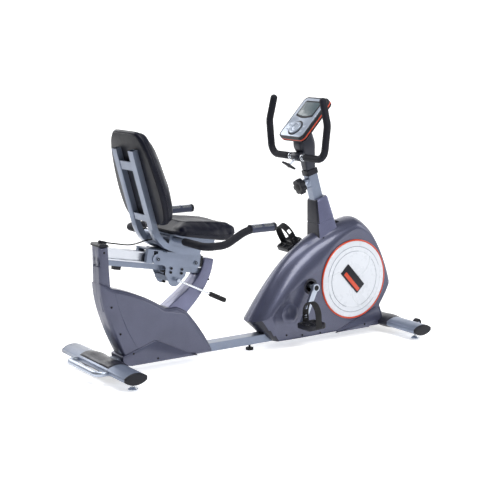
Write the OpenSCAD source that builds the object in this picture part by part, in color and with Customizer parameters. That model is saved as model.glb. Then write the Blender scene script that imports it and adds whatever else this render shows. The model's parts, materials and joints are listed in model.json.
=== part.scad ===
// Recumbent exercise bike with a sliding seat, a belt-driven magnetic
// brake and a height-adjustable console. Millimetres; +X points from the
// seat to the console, +Z up, origin under the middle of the bike.

/* [Base] */
// Distance between the axes of the two stabilizers
base_len = 1512; // [1460:2:1830]
// Overall length of the rear stabilizer, caps included
rear_stab_len = 580; // [480:10:700]
// Overall length of the front stabilizer, caps included
front_stab_len = 660; // [560:10:800]
// Width of the pointed-oval stabilizer tube
stab_w = 105; // [88:1:126]
// Height of the pointed-oval stabilizer tube
stab_h = 52; // [48:1:60]
// Wall of the stabilizer tubes
stab_wall = 2.5; // [1.5:0.5:4]
// Height of the stabilizer axes above the floor
stab_z = 52; // [46:1:60]
// Width of the main beam
beam_w = 60; // [50:1:72]
// Height of the main beam
beam_h = 38; // [34:1:44]
// How far the lift handle reaches behind the rear stabilizer axis
handle_reach = 109; // [92:1:130]
// Diameter of the lift handle tube
handle_d = 25; // [20:1:30]
// Radius of the transport wheels
wheel_r = 22; // [18:1:26]
// Width of a transport wheel
wheel_w = 18; // [14:1:22]

/* [Seat rail] */
// Slope of the rail, down towards the front, in degrees
rail_tilt = 10.5; // [8:0.5:12]
// Height of the rail top above the floor at the rear rollers
rail_top = 505; // [498:1:520]
// Width of the aluminium rail
rail_w = 60; // [52:1:64]
// Height of the aluminium rail
rail_h = 47; // [42:1:52]
// Height of the steel tube under the rail
rail_tube_h = 25; // [20:1:28]
// Radius of the carriage rollers
roller_r = 17; // [14.5:0.5:19.5]
// Distance between the front and rear rollers
roller_gap = 190; // [170:2:200]
// How far the seat slides back
seat_travel = 160; // [120:5:165]

/* [Seat] */
// Recline of the seat back from the vertical, in degrees
back_lean = 15.6; // [10:0.2:22]
// Bend radius of the seat frame tubes
seat_bend = 140; // [120:1:150]
// Straight length of the seat back tubes
back_tube_len = 344; // [300:2:400]
// Distance between the middles of the two seat tubes
seat_tube_gap = 139; // [132:1:150]
// Length of the seat cushion
seat_len = 330; // [280:5:380]
// Half width of the seat cushion at the rear
seat_half = 172; // [150:1:205]
// Thickness of the seat cushion at its front
seat_thick = 84; // [70:1:95]
// Height of the back cushion along its slope
back_len = 414; // [380:2:520]
// Greatest half width of the back cushion
back_half = 186; // [160:1:215]
// Thickness of the back cushion
back_thick = 62; // [50:1:80]
// Diameter of the side handlebar tube
side_bar_d = 25; // [20:1:28]
// Distance of each side grip from the middle plane
side_bar_half = 330; // [290:2:380]

/* [Drive] */
// Distance of the crank axle behind the front stabilizer axis
crank_back = 474; // [462:1:486]
// Height of the crank axle above the floor
crank_z = 274.5; // [262:0.5:300]
// Length of the crank arms, axle to pedal
crank_len = 170; // [142:1:180]
// Angle of the right crank arm from forward, in degrees
crank_angle = 245.7; // [0:0.1:360]
// Radius of the crank axle
axle_r = 8.5; // [7:0.5:11]
// Radius of the drive pulley
drive_r = 105; // [85:1:108]
// Radius of the flywheel pulley
small_r = 17.5; // [15:0.5:19]
// Radius of the flywheel
flywheel_r = 112; // [90:1:116]
// Distance of the flywheel axle behind the front stabilizer axis
fly_back = 130; // [126:1:150]
// Height of the flywheel axle above the floor
fly_z = 262; // [255:1:275]
// Length of a pedal platform
pedal_len = 96; // [80:1:110]
// Width of a pedal platform
pedal_w = 98; // [84:1:110]

/* [Covers] */
// Half width of the front cover
front_half = 79; // [70:1:95]
// Half width of the rear cover's body
rear_half = 48; // [42:1:58]
// Half width of the rear cover's mast and arm
mast_half = 38; // [35:1:41]
// Wall of the plastic covers
cover_wall = 3; // [2:0.5:4]
// Radius of the round side discs, ring included
disc_r = 189.5; // [158:0.5:195]

/* [Console] */
// Lean of the console mast from the vertical, in degrees
mast_lean = 17; // [14:0.5:20]
// Distance of the mast top behind the front stabilizer axis
mast_back = 426; // [420:1:432]
// Height of the mast top
mast_z = 798; // [780:1:830]
// Depth of the mast tube, front to back
mast_d = 50; // [46:1:56]
// Width of the mast tube
mast_w = 40; // [36:1:46]
// How far the console post slides up
post_travel = 60; // [30:5:80]
// Diameter of the console handlebar tube
bar_d = 25; // [20:1:28]
// Length of the console face
console_len = 240; // [210:2:280]
// Width of the console face
console_w = 180; // [150:2:210]
// Tilt of the console face from the horizontal, in degrees
console_tilt = 47; // [40:1:55]

/* [Hidden] */
$fn = 64;

// clearances
gap = 0.3;      // between pieces that stand next to each other
run = 0.05;     // radial, between a shaft and its bore
slip = 1;       // round a tube that passes through a cover

// base
wheel_out = stab_w / 2 + wheel_r + 1.5;
overall_len = base_len + handle_reach + wheel_out + wheel_r;
x_r = -overall_len / 2 + handle_reach;
x_f = x_r + base_len;
beam_z0 = stab_z - 2 - beam_h / 2;
beam_z1 = beam_z0 + beam_h;
cap_t = 8;
foot_inset = 33;
foot_inset_front = 56;
foot_r = 5;
wheel_y = 202;
wheel_axle_r = 4;
sleeve_half = 135;
sleeve_t = 4;

// rail frame: s runs down the rail, t stands square to it
rail_u = 246;
rail_end_s = -seat_travel - 102;
rail_front_s = 278;
flange = 6;
roller_t = -rail_h / 2;
plate_in = 50;
plate_t = 5;
top_t = 11;
tube_w = 40;
tube_d = 25;
tube_wall = 2;
tube_y = seat_tube_gap / 2;
bend_s = 70;
seat_t = 90;
seat_drop = 31;
bar_s = 49;
bar_t = 72;
bend_sweep = 90 - rail_tilt - back_lean;
pivot_s = 104;
pivot_t = -104;
shoe_s = 78;
lever_y = 74;

// drive
crank_x = x_f - crank_back;
fly_x = x_f - fly_back;
upright_x = x_f - 313;
upright_d = 50;
upright_w = 40;
shell_half = 30;
belt_y = 33;
belt_w = 10;
arm_in = 104;
arm_out = 124;
spindle_r = 5;
pedal_in = 132;
pedal_tip = [-3, -30];
magnet_r = 128;
magnet_a = 260;

// console
post_d = mast_d - 8;
post_w = mast_w - 8;
post_top = 168;
post_in = post_travel + 160;
grip_r = -48;
grip_a = 90;
bar_foam = bar_d + 8;
clamp_r = bar_d / 2 + 8;
console_x = x_f - 465;
console_z = 1048;
bezel_t = 24;
housing_t = 24;
dial_x = -64;
screen_x = 50;

silver = "#93a0b8";
shell = "#4d4c5f";
shroud_c = "#6f6c85";
vinyl = "#20212c";
foam_c = "#1d1e26";
chrome = "#c9ccd2";
black = "#141418";
orange = "#d8502a";

// A point on the cubic curve through a and d with handles b and c
function cubic(a, b, c, d, t) =
    a * pow(1 - t, 3) + 3 * b * t * pow(1 - t, 2) + 3 * c * t * t * (1 - t) + d * pow(t, 3);

// Points of that curve, ends included
function curve(a, b, c, d, n = 8) = [for (i = [0:n]) cubic(a, b, c, d, i / n)];

function mirrored(pts) = [for (i = [len(pts) - 1:-1:0]) [-pts[i][0], pts[i][1]]];

// Oval bar along Y, made of two flat arcs with blunted tips
module oval_bar(w, h, l) {
    tip = 8;
    half = w / 2 + tip;
    r = (half * half + h * h / 4) / h;
    rotate([90, 0, 0])
        linear_extrude(l, center = true)
            intersection() {
                translate([0, r - h / 2]) circle(r);
                translate([0, h / 2 - r]) circle(r);
                circle(d = w);
            }
}

// Ring or disc drawn for a tube with the given bore; no bore leaves it full
module tube_face(d, bore) {
    difference() {
        circle(d = d);
        if (bore > 0) circle(d = bore);
    }
}

// Round bar along +Z that bends towards +X; each leg of the list is
// [straight length, bend angle, bend radius]. Inner collars bind the legs
module bent_bar(d, legs, bore = 0, i = 0) {
    leg = legs[i];
    a = leg[1];
    linear_extrude(leg[0]) tube_face(d, bore);
    if (i > 0) bar_collar(d, bore);
    translate([0, 0, leg[0]]) {
        if (a > 0) {
            translate([leg[2], 0, 0])
                rotate([90, 0, 180])
                    rotate_extrude(angle = a) translate([leg[2], 0]) tube_face(d, bore);
            bar_collar(d, bore);
        }
        if (i + 1 < len(legs))
            translate([leg[2] * (1 - cos(a)), 0, leg[2] * sin(a)])
                rotate([0, a, 0])
                    bent_bar(d, legs, bore, i + 1);
    }
}

module bar_collar(d, bore) {
    translate([0, 0, -1]) linear_extrude(2) tube_face(d - 1.5, bore > 0 ? bore + 1.5 : 0);
}

// Points of a mitred band of the given half width along a path
function unit(v) = v / norm(v);
function side_of(v) = [-v[1], v[0]];
function band_side(pts, h) = [for (i = [0:len(pts) - 1])
    let (a = unit(pts[max(i, 1)] - pts[max(i, 1) - 1]),
         b = unit(pts[min(i + 1, len(pts) - 1)] - pts[min(i + 1, len(pts) - 1) - 1]),
         n = unit(side_of(a + b)))
    pts[i] + n * h / (n * side_of(a))];
function reversed(pts) = [for (i = [len(pts) - 1:-1:0]) pts[i]];
function band(pts, h) = concat(band_side(pts, h), reversed(band_side(pts, -h)));

// A flat shape drawn in X and Z, standing between two values of Y
module standing(y0, y1) {
    translate([0, y1, 0]) rotate([90, 0, 0]) linear_extrude(y1 - y0) children();
}

module rod_y(r, y0, y1) {
    translate([0, y0, 0]) rotate([-90, 0, 0]) cylinder(r = r, h = y1 - y0);
}

module on_rail() {
    translate([x_r + rail_u, 0, rail_top]) rotate([0, rail_tilt, 0]) children();
}

module at_back() {
    translate([bend_s - seat_bend * sin(bend_sweep), 0,
               top_t + plate_t + tube_d / 2 + seat_bend * (1 - cos(bend_sweep))])
        rotate([0, bend_sweep - 90, 0])
            children();
}

module on_mast() {
    translate([x_f - mast_back, 0, mast_z]) rotate([0, -mast_lean, 0]) children();
}

module on_console() {
    translate([console_x, 0, console_z]) rotate([0, -console_tilt, 0]) children();
}

module beam_hole() {
    translate([x_r, -beam_w / 2 - slip, beam_z0 - 20])
        cube([base_len, beam_w + 2 * slip, beam_h + 20 + slip]);
}

// ---------------------------------------------------------------- base

module main_beam() color(silver)
    difference() {
        translate([x_r, -beam_w / 2, beam_z0]) cube([base_len, beam_w, beam_h]);
        translate([x_r, -beam_w / 2 + 3, beam_z0 + 3])
            cube([base_len, beam_w - 6, beam_h - 6]);
        for (x = [x_r, x_f])
            translate([x, 0, stab_z]) oval_bar(stab_w + 2 * gap, stab_h + 2 * gap, beam_w + 2);
        translate([0, 0, beam_z0 - 1]) cylinder(r = foot_r + run, h = 5);
    }

module stabilizer(l, foot_y) {
    difference() {
        translate([0, 0, stab_z]) oval_bar(stab_w, stab_h, l - 2 * cap_t);
        translate([0, 0, stab_z])
            oval_bar(stab_w - 2 * stab_wall, stab_h - 2 * stab_wall, l);
        for (y = [-foot_y, foot_y])
            translate([0, y, stab_z - stab_h]) cylinder(r = foot_r + run, h = stab_h);
    }
}

module rear_stabilizer() color(silver)
    translate([x_r, 0, 0]) stabilizer(rear_stab_len, rear_stab_len / 2 - foot_inset);

module wheel_fork() {
    for (y = [-wheel_w / 2 - 5, wheel_w / 2 + 2])
        difference() {
            translate([stab_w / 2 - 16, y, stab_z - 7]) cube([wheel_out - stab_w / 2 + 22, 3, 14]);
            translate([0, 0, stab_z]) oval_bar(stab_w - stab_wall, stab_h - stab_wall, 400);
        }
    translate([wheel_out, 0, stab_z]) rod_y(wheel_axle_r, -wheel_w / 2 - 5, wheel_w / 2 + 5);
}

module front_stabilizer() color(silver)
    translate([x_f, 0, 0]) {
        stabilizer(front_stab_len, front_stab_len / 2 - foot_inset_front);
        for (y = [-wheel_y, wheel_y]) translate([0, y, 0]) wheel_fork();
    }

module stabilizer_caps() color(black)
    for (e = [[x_r, rear_stab_len], [x_f, front_stab_len]])
        for (s = [-1, 1])
            translate([e[0], s * (e[1] / 2 - cap_t / 2), stab_z]) oval_bar(stab_w, stab_h, cap_t);

module lift_handle() color(silver) {
    bend = 28;
    legs = [[105, 90, bend], [handle_reach - handle_d / 2 - bend, 0, 0]];
    difference() {
        for (s = [0, 180])
            translate([x_r - handle_reach + handle_d / 2, 0, stab_z - 3])
                rotate([s, 0, 0])
                    rotate([90, 0, 0])
                        bent_bar(handle_d, legs);
        translate([x_r, 0, stab_z]) oval_bar(stab_w, stab_h, rear_stab_len);
    }
}

module joint_covers() color(shell)
    for (x = [x_r, x_f])
        difference() {
            translate([x, 0, stab_z])
                oval_bar(stab_w + 2 * sleeve_t + 6, stab_h + 2 * sleeve_t, 2 * sleeve_half);
            translate([x, 0, stab_z])
                oval_bar(stab_w + 2 * gap, stab_h + 2 * gap, 2 * sleeve_half + 2);
            translate([x_r, -beam_w / 2 - gap, beam_z0 - gap])
                cube([base_len, beam_w + 2 * gap, beam_h + 2 * gap]);
            translate([x_r - handle_reach, -sleeve_half - 1, 0])
                cube([handle_reach - stab_w / 2 + 16, 2 * sleeve_half + 2, 2 * stab_z]);
        }

module foot(x, y) color(chrome)
    translate([x, y, 0]) {
        cylinder(r = 21, h = 6);
        translate([0, 0, 6]) cylinder(r1 = 19, r2 = 9, h = 8);
        cylinder(r = foot_r, h = stab_z - 2);
    }

module middle_foot() color(black) {
    cylinder(r = 18, h = 10);
    cylinder(r = foot_r, h = beam_z0 + 6);
}

module transport_wheels() color(black)
    for (y = [-wheel_y, wheel_y])
        translate([x_f + wheel_out, y, stab_z])
            difference() {
                rod_y(wheel_r, -wheel_w / 2, wheel_w / 2);
                rod_y(wheel_axle_r + run, -wheel_w, wheel_w);
                for (s = [-1, 1])
                    rotate([0, 0, 90 - 90 * s])
                        difference() {
                            rod_y(wheel_r - 5, wheel_w / 2 - 4, wheel_w);
                            rod_y(9, wheel_w / 2 - 5, wheel_w);
                        }
            }

// -------------------------------------------------- seat rail and covers

module rail_box(clear) {
    on_rail()
        translate([rail_end_s - clear, -rail_w / 2 - clear, -rail_h - rail_tube_h - clear])
            cube([rail_front_s - rail_end_s + 2 * clear, rail_w + 2 * clear,
                  rail_h + rail_tube_h + 2 * clear]);
}

// Posts inside the rear cover that carry the rail, less the given wall
module support_bars(wall) {
    translate([x_r, 0, 0])
        for (path = [[[108, beam_z1 - 10], [-1, 345], [-1, rail_top - 9]],
                     [[352, beam_z1 - 10], [352, 243], [491, rail_top - 109]]])
            standing(wall - 23, 23 - wall) polygon(band(path, 14 - wall));
}

module seat_support() color(silver)
    difference() {
        support_bars(0);
        support_bars(2.5);
        rail_box(0);
        translate([x_r, -beam_w / 2, 0]) cube([base_len, beam_w, beam_z1]);
    }

// Side view of the rear cover, from the rear stabilizer axis
function rear_edge() = curve([-25, 400], [-23, 300], [20, 180], [100, beam_z0 + 2]);
function front_edge() = curve([524, beam_z0 + 2], [505, 90], [440, 180], [392, 234]);
function arm_out() = curve([392, 234], [455, 280], [522, 350], [534, 450]);
function arm_in() = curve([484, 461], [478, 370], [390, 325], [285, 262]);
function hull_top() = curve([285, 262], [210, 315], [120, 355], [32, 376], 6);

module rear_outline() {
    polygon(concat(
        [[-26, 556], [-25, 400]], rear_edge(), front_edge(), arm_out(),
        arm_in(), hull_top(), [[22, 412], [15, 553]]));
}

module rear_body_outline() {
    polygon(concat(rear_edge(), front_edge(), hull_top(), [[28, 390]]));
}

module rear_belly(inset, half) {
    hull() {
        standing(0, mast_half - inset) offset(delta = -inset) rear_body_outline();
        standing(0, half - inset) offset(delta = -inset - 14) rear_body_outline();
    }
}

module rear_plinth() {
    standing(rear_half - 6, rear_half + 6)
        polygon([[60, 88], [230, 131], [391, 52], [450, beam_z0 + 2], [100, beam_z0 + 2]]);
}

// Left half of the rear cover; the right half is its mirror image
module rear_cover_half() {
    difference() {
        translate([x_r, 0, 0]) {
            standing(0, mast_half) rear_outline();
            rear_belly(0, rear_half);
            rear_plinth();
        }
        translate([x_r, 0, 0]) {
            standing(-1, mast_half - cover_wall) offset(delta = -cover_wall) rear_outline();
            translate([0, -1, 0]) rear_belly(cover_wall, rear_half);
        }
        rail_box(slip);
        beam_hole();
        on_rail() translate([rail_end_s + 40, -rail_w, -10]) cube([roller_gap + 250, 2 * rail_w, 90]);
    }
}

module rear_cover_right() color(shell) mirror([0, 1, 0]) rear_cover_half();
module rear_cover_left() color(shell) rear_cover_half();

module post_cap() color(black)
    translate([x_r, 0, 0]) {
        standing(-mast_half - 1, mast_half + 1)
            polygon([[-28, 557], [17, 554], [17, 562], [8, 567], [-22, 570], [-28, 564]]);
        translate([-8, 0, 572]) rotate([0, 100, 0]) cylinder(r1 = 9, r2 = 5.5, h = 34);
    }

module seat_rail() color("#d9dde3")
    on_rail()
        difference() {
            translate([rail_end_s, -rail_w / 2, -rail_h])
                cube([rail_front_s - rail_end_s, rail_w, rail_h]);
            for (s = [-1, 1])
                translate([rail_end_s - 1, s * (rail_w / 2 - 7) - 7, -rail_h + flange])
                    cube([rail_front_s - rail_end_s + 2, 14, rail_h - 2 * flange]);
        }

module rail_tube() color(silver)
    on_rail()
        difference() {
            translate([rail_end_s, -20, -rail_h - rail_tube_h])
                cube([rail_front_s - rail_end_s, 40, rail_tube_h]);
            translate([rail_end_s - 1, -18, -rail_h - rail_tube_h + 2])
                cube([rail_front_s - rail_end_s + 2, 36, rail_tube_h - 4]);
        }

module rail_bumpers() color(black)
    on_rail() {
        translate([-180, -14, -rail_h - rail_tube_h - 16]) cube([32, 28, 16]);
        difference() {
            translate([roller_gap + 28, -rail_w / 2 - 12, -rail_h + 6])
                cube([14, rail_w + 24, rail_h + 2]);
            translate([0, -rail_w / 2, -rail_h - 1]) cube([400, rail_w, rail_h + 1]);
        }
    }

// ------------------------------------------------------------- carriage

module side_plate() {
    polygon([
        [-4, top_t], [roller_gap + 16, top_t], [roller_gap + 22, 5], [roller_gap + 22, -36],
        [roller_gap + 13, -46], [158, -50], [150, -58], [148, -84], [124, -116],
        [70, -116], [48, -84], [46, -56], [38, -48], [0, -46]
    ]);
    translate([-2, roller_t]) circle(r = 23);
    translate([97, pivot_t]) circle(r = 30);
}

module seat_carriage() color(silver)
    on_rail()
        difference() {
            union() {
                for (y = [-plate_in - plate_t, plate_in]) standing(y, y + plate_t) side_plate();
                translate([-52, -plate_in - plate_t, top_t])
                    cube([roller_gap + 74, 2 * plate_in + 2 * plate_t, plate_t]);
                translate([20, -tube_y - 19, top_t]) cube([160, 2 * tube_y + 38, plate_t]);
                for (s = [-1, 1]) {
                    translate([-52, s > 0 ? rail_w / 2 + 0.6 : -plate_in, -rail_h + 3])
                        cube([31, plate_in - rail_w / 2 - 0.6, rail_h - 3 + top_t]);
                    for (x = [0, roller_gap])
                        translate([x, 0, roller_t])
                            if (s > 0) rod_y(5, rail_w / 2 - 12, plate_in + plate_t + 6);
                            else rod_y(5, -plate_in - plate_t - 6, -rail_w / 2 + 12);
                    for (p = [[71, -57], [71, -74], [125, -57], [125, -74]])
                        translate([p[0], 0, p[1]])
                            if (s > 0) rod_y(5.5, plate_in + plate_t, plate_in + plate_t + 4);
                            else rod_y(5.5, -plate_in - plate_t - 4, -plate_in - plate_t);
                    for (x = [0, roller_gap])
                        translate([x, 0, roller_t])
                            if (s > 0) rod_y(9, plate_in + plate_t, plate_in + plate_t + 5);
                            else rod_y(9, -plate_in - plate_t - 5, -plate_in - plate_t);
                }
                translate([shoe_s - 18, -plate_in, -112]) cube([34, 2 * plate_in, 20]);
            }
            translate([shoe_s, 0, -130]) cylinder(r = 6 + run, h = 70);
            translate([pivot_s, 0, pivot_t]) rod_y(5 + run, -80, 80);
        }

module roller_pair(s) color("#e8e8ea")
    on_rail()
        translate([s, 0, roller_t])
            for (m = [0, 1])
                mirror([0, m, 0])
                    difference() {
                        union() {
                            rod_y(roller_r, rail_w / 2 - 12.5, rail_w / 2 - 0.5);
                            rod_y(9, rail_w / 2 - 0.5, plate_in - 0.2);
                        }
                        rod_y(5 + run, 0, plate_in + 1);
                    }

module release_lever() color(chrome)
    on_rail()
        translate([pivot_s, 0, pivot_t]) {
            rod_y(5, -lever_y, plate_in + plate_t + 4);
            translate([0, -lever_y, 0]) {
                rod_y(9, -7, 7);
                rotate([0, 90 + 26 - rail_tilt, 0]) {
                    cylinder(r = 5, h = 180);
                    translate([0, 0, 176]) cylinder(r = 11, h = 92);
                }
            }
        }

// Friction shoe that the lever draws down from the rail tube
module brake_shoe() color(black)
    on_rail()
        translate([shoe_s, 0, -rail_h - rail_tube_h - 0.5]) {
            translate([-15, -16, -9]) cube([30, 32, 9]);
            translate([0, 0, -52]) cylinder(r = 6, h = 50);
            translate([0, 0, -54]) cylinder(r = 9, h = 6);
        }

// ------------------------------------------------------------------ seat

module seat_tube(w, d) {
    t0 = top_t + plate_t + tube_d / 2;
    translate([bend_s, -w / 2, t0 - d / 2]) cube([115, w, d]);
    translate([bend_s, 0, t0 + seat_bend])
        rotate([90, 0, 0])
            rotate([0, 0, -90 - bend_sweep])
                rotate_extrude(angle = bend_sweep)
                    translate([seat_bend - d / 2, -w / 2]) square([d, w]);
    at_back() {
        translate([-d / 2, -w / 2, 0]) cube([d, w, back_tube_len]);
        translate([0.5 - d / 2, 0.5 - w / 2, -2]) cube([d - 1, w - 1, 4]);
    }
}

module seat_frame() color(silver)
    on_rail() {
        difference() {
            union() {
                for (s = [-1, 1])
                    translate([0, s * tube_y, 0]) seat_tube(tube_w, tube_d);
                for (s = [-1, 1])
                    translate([24, s * (tube_y + 14) - 3, top_t + plate_t + tube_d - 3])
                        cube([226, 6, seat_t - top_t - plate_t - tube_d]);
                translate([24, -tube_y - 17, seat_t - 5]) cube([226, 2 * tube_y + 34, 5]);
                translate([160, -tube_y - 17, top_t + plate_t + tube_d - 1])
                    cube([6, 2 * tube_y + 34, seat_t - top_t - plate_t - tube_d]);
                translate([-6, -tube_y, 38]) cube([6, 2 * tube_y, 38]);
            }
            for (s = [-1, 1])
                translate([0, s * tube_y, 0])
                    seat_tube(tube_w - 2 * tube_wall, tube_d - 2 * tube_wall);
            translate([bar_s, 0, bar_t]) rod_y(side_bar_d / 2, -150, 150);
        }
        at_back()
            for (z = [[back_tube_len - 88, 38], [30, 30]])
                translate([-tube_d / 2 + 2, -tube_y + tube_w / 2 - 1, z[0]])
                    cube([6, 2 * tube_y - tube_w + 2, z[1]]);
    }

module seat_cushion() color(vinyl)
    on_rail()
        translate([22, 0, seat_t]) {
            side = concat(
                curve([0, seat_half - 30], [0, seat_half], [10, seat_half], [40, seat_half], 4),
                curve([seat_len * 0.7, seat_half - 10], [seat_len, seat_half - 20],
                      [seat_len, 90], [seat_len, 60], 6));
            intersection() {
                linear_extrude(seat_thick)
                    polygon(concat(side, [for (i = [len(side) - 1:-1:0]) [side[i][0], -side[i][1]]]));
                standing(-seat_half, seat_half)
                    polygon([[0, 0], [seat_len - 90, 0], [seat_len, 26], [seat_len, seat_thick],
                             [0, seat_thick - seat_drop]]);
            }
        }

module back_cushion() color(vinyl)
    on_rail() at_back()
        translate([tube_d / 2 + 1, 0, 0]) {
            side = concat(
                curve([120, 0], [back_half - 2, 8], [back_half + 2, 90], [back_half, 160], 5),
                curve([back_half, 160], [back_half - 10, back_len - 180],
                      [back_half - 46, back_len - 8], [66, back_len], 8));
            rotate([90, 0, 90]) linear_extrude(back_thick) polygon(concat(side, mirrored(side)));
        }

side_bend = 35;
grip_rise = 56;
// Riser of the side handlebar, from the end of its level bend: X and Z
rise_pts = [[0.2, 0], [62, 0], [172, grip_rise], [318, grip_rise]];

// Straight round bars along the first legs of a path in the XZ plane, with
// a ball a little larger than the bar at each knee
module knee_bar(d, pts, legs) {
    for (i = [0:legs - 1]) {
        v = pts[i + 1] - pts[i];
        translate([pts[i][0], 0, pts[i][1]])
            rotate([0, atan2(v[0], v[1]), 0]) {
                cylinder(d = d, h = norm(v));
                if (i > 0) sphere(d = d + 0.6);
            }
    }
}

// Both halves of the side handlebar: the level cross piece from the
// given distance outwards, then the first legs of the riser
module side_half(d, bore, cross, legs) {
    out = side_bar_half - side_bend;
    on_rail()
        translate([bar_s, 0, bar_t])
            rotate([0, -rail_tilt, 0])
                for (m = [0, 1])
                    mirror([0, m, 0]) {
                        if (cross < out)
                            translate([0, cross, 0])
                                rotate([-90, 0, 0])
                                    bent_bar(d, [[out - cross, 90, side_bend]], bore);
                        translate([side_bend, side_bar_half, 0])
                            difference() {
                                union() {
                                    knee_bar(d, rise_pts, legs);
                                    if (bore == 0) rotate([0, 90, 0]) bar_collar(d, 0);
                                }
                                if (bore > 0) {
                                    knee_bar(bore, rise_pts, legs + 1);
                                    translate([-1, 0, 0]) rotate([0, 90, 0]) cylinder(d = bore, h = 9);
                                }
                            }
                    }
}

module side_bar() color(silver) side_half(side_bar_d, 0, 0, 3);

module side_bar_foam() color(foam_c) side_half(side_bar_d + 8, side_bar_d + 2 * run, 150, 2);

module pulse_grips() color(black)
    on_rail()
        translate([bar_s, 0, bar_t])
            rotate([0, -rail_tilt, 0])
                for (m = [0, 1])
                    mirror([0, m, 0])
                        translate([side_bend + rise_pts[2][0] + 9, side_bar_half, grip_rise])
                            rotate([0, 90, 0])
                                difference() {
                                    cylinder(d = side_bar_d + 11, h = 130);
                                    translate([0, 0, -1])
                                        cylinder(d = side_bar_d + 2 * run, h = 132);
                                }

// ----------------------------------------------------------------- drive

module front_frame() color(silver)
    difference() {
        union() {
            translate([upright_x - upright_d / 2, -upright_w / 2, beam_z1])
                cube([upright_d, upright_w, 390]);
            translate([crank_x, 0, crank_z]) rod_y(22, -shell_half, shell_half);
            translate([crank_x, -12, crank_z - 13]) cube([upright_x - crank_x, 24, 26]);
            translate([crank_x - 15, -12, beam_z1]) cube([30, 24, crank_z - beam_z1]);
            translate([upright_x, -57, fly_z - 24]) cube([upright_d / 2 + 6, 114, 48]);
            for (y = [-57, 52])
                translate([upright_x + 20, y, fly_z - 18]) cube([fly_x - upright_x, 5, 36]);
            translate([fly_x, 0, fly_z]) {
                rod_y(6, -64, 64);
                rod_y(11, -64, -57);
                rod_y(11, 57, 64);
            }
            translate([fly_x + magnet_r * cos(magnet_a), 0, fly_z + magnet_r * sin(magnet_a)]) {
                rod_y(4, -28, 28);
                for (y = [-28, 23])
                    translate([-12, y, beam_z1 - fly_z - magnet_r * sin(magnet_a)])
                        cube([24, 5, fly_z + magnet_r * sin(magnet_a) - beam_z1 + 8]);
            }
        }
        on_mast() translate([-mast_d / 2, -60, -384]) cube([mast_d, 120, 400]);
        translate([crank_x, 0, crank_z]) rod_y(16, -shell_half - 1, shell_half + 1);
    }

module axle_bearings() color(chrome)
    translate([crank_x, 0, crank_z])
        for (y = [-shell_half, shell_half - 12])
            difference() {
                rod_y(16, y, y + 12);
                rod_y(axle_r + run, y - 1, y + 13);
            }

module crank_axle() color(chrome)
    translate([crank_x, 0, crank_z]) {
        rod_y(axle_r, -arm_in, arm_in);
        rod_y(14, shell_half + 0.5, belt_y - 0.5);
    }

module crank_arm(y0, angle) {
    translate([crank_x, 0, crank_z])
        rotate([0, -angle, 0]) {
            rod_y(18, y0, y0 + arm_out - arm_in);
            hull() {
                rod_y(14, y0 + 4, y0 + 18, $fn = 32);
                translate([crank_len, 0, 0]) rod_y(12, y0 + 4, y0 + 18, $fn = 32);
            }
            translate([crank_len, 0, 0])
                if (y0 > 0) rod_y(spindle_r, y0 + 10, pedal_in + pedal_w - 6);
                else rod_y(spindle_r, -pedal_in - pedal_w + 6, y0 + 10);
        }
}

module crank_arms() color("#b9bec8") {
    crank_arm(-arm_out, crank_angle);
    crank_arm(arm_in, crank_angle + 180);
}

module drive_pulley() color("#2b2c33")
    translate([crank_x, 0, crank_z])
        difference() {
            rod_y(drive_r, belt_y, belt_y + belt_w);
            rod_y(axle_r + run, belt_y - 1, belt_y + belt_w + 1);
            for (s = [0, 1])
                translate([0, belt_y + s * 7, 0])
                    difference() {
                        rod_y(drive_r - 12, -1, 4);
                        rod_y(26, -2, 5);
                    }
            for (k = [0:4])
                rotate([0, k * 72, 0]) translate([60, 0, 0]) rod_y(17, belt_y, belt_y + belt_w);
        }

module flywheel() color("#7d828c")
    translate([fly_x, 0, fly_z])
        difference() {
            union() {
                rod_y(flywheel_r, -12, 12);
                rod_y(14, -15, belt_y - 2);
                rod_y(small_r + 3, belt_y - 3, belt_y);
                rod_y(small_r, belt_y, belt_y + belt_w);
                rod_y(small_r + 3, belt_y + belt_w, belt_y + belt_w + 3);
            }
            rod_y(6 + run, -20, 60);
            for (y = [-13, 5])
                difference() {
                    rod_y(flywheel_r - 38, y, y + 8);
                    rod_y(20, y - 1, y + 9);
                }
        }

module belt_loop(t) {
    hull() {
        translate([crank_x, crank_z]) circle(r = drive_r + t, $fn = 96);
        translate([fly_x, fly_z]) circle(r = small_r + t, $fn = 48);
    }
}

module drive_belt() color(black)
    standing(belt_y + 1, belt_y + belt_w - 1)
        difference() {
            belt_loop(3);
            belt_loop(0.6);
        }

module magnet_bracket() color("#5d6470")
    translate([fly_x, 0, fly_z]) {
        rotate([90, 0, 0])
            rotate([0, 0, 195])
                rotate_extrude(angle = 50)
                    polygon([
                        [86, -18], [flywheel_r + 12, -18], [flywheel_r + 12, 18], [86, 18],
                        [86, 14.5], [flywheel_r + 4, 14.5], [flywheel_r + 4, -14.5], [86, -14.5]
                    ]);
        rotate([90, 0, 0])
            rotate([0, 0, 244])
                rotate_extrude(angle = 16)
                    translate([flywheel_r + 4, -18]) square([8, 36]);
        translate([magnet_r * cos(magnet_a), 0, magnet_r * sin(magnet_a)])
            difference() {
                rod_y(9, -22.5, 22.5);
                rod_y(4 + run, -30, 30);
            }
    }

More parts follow.
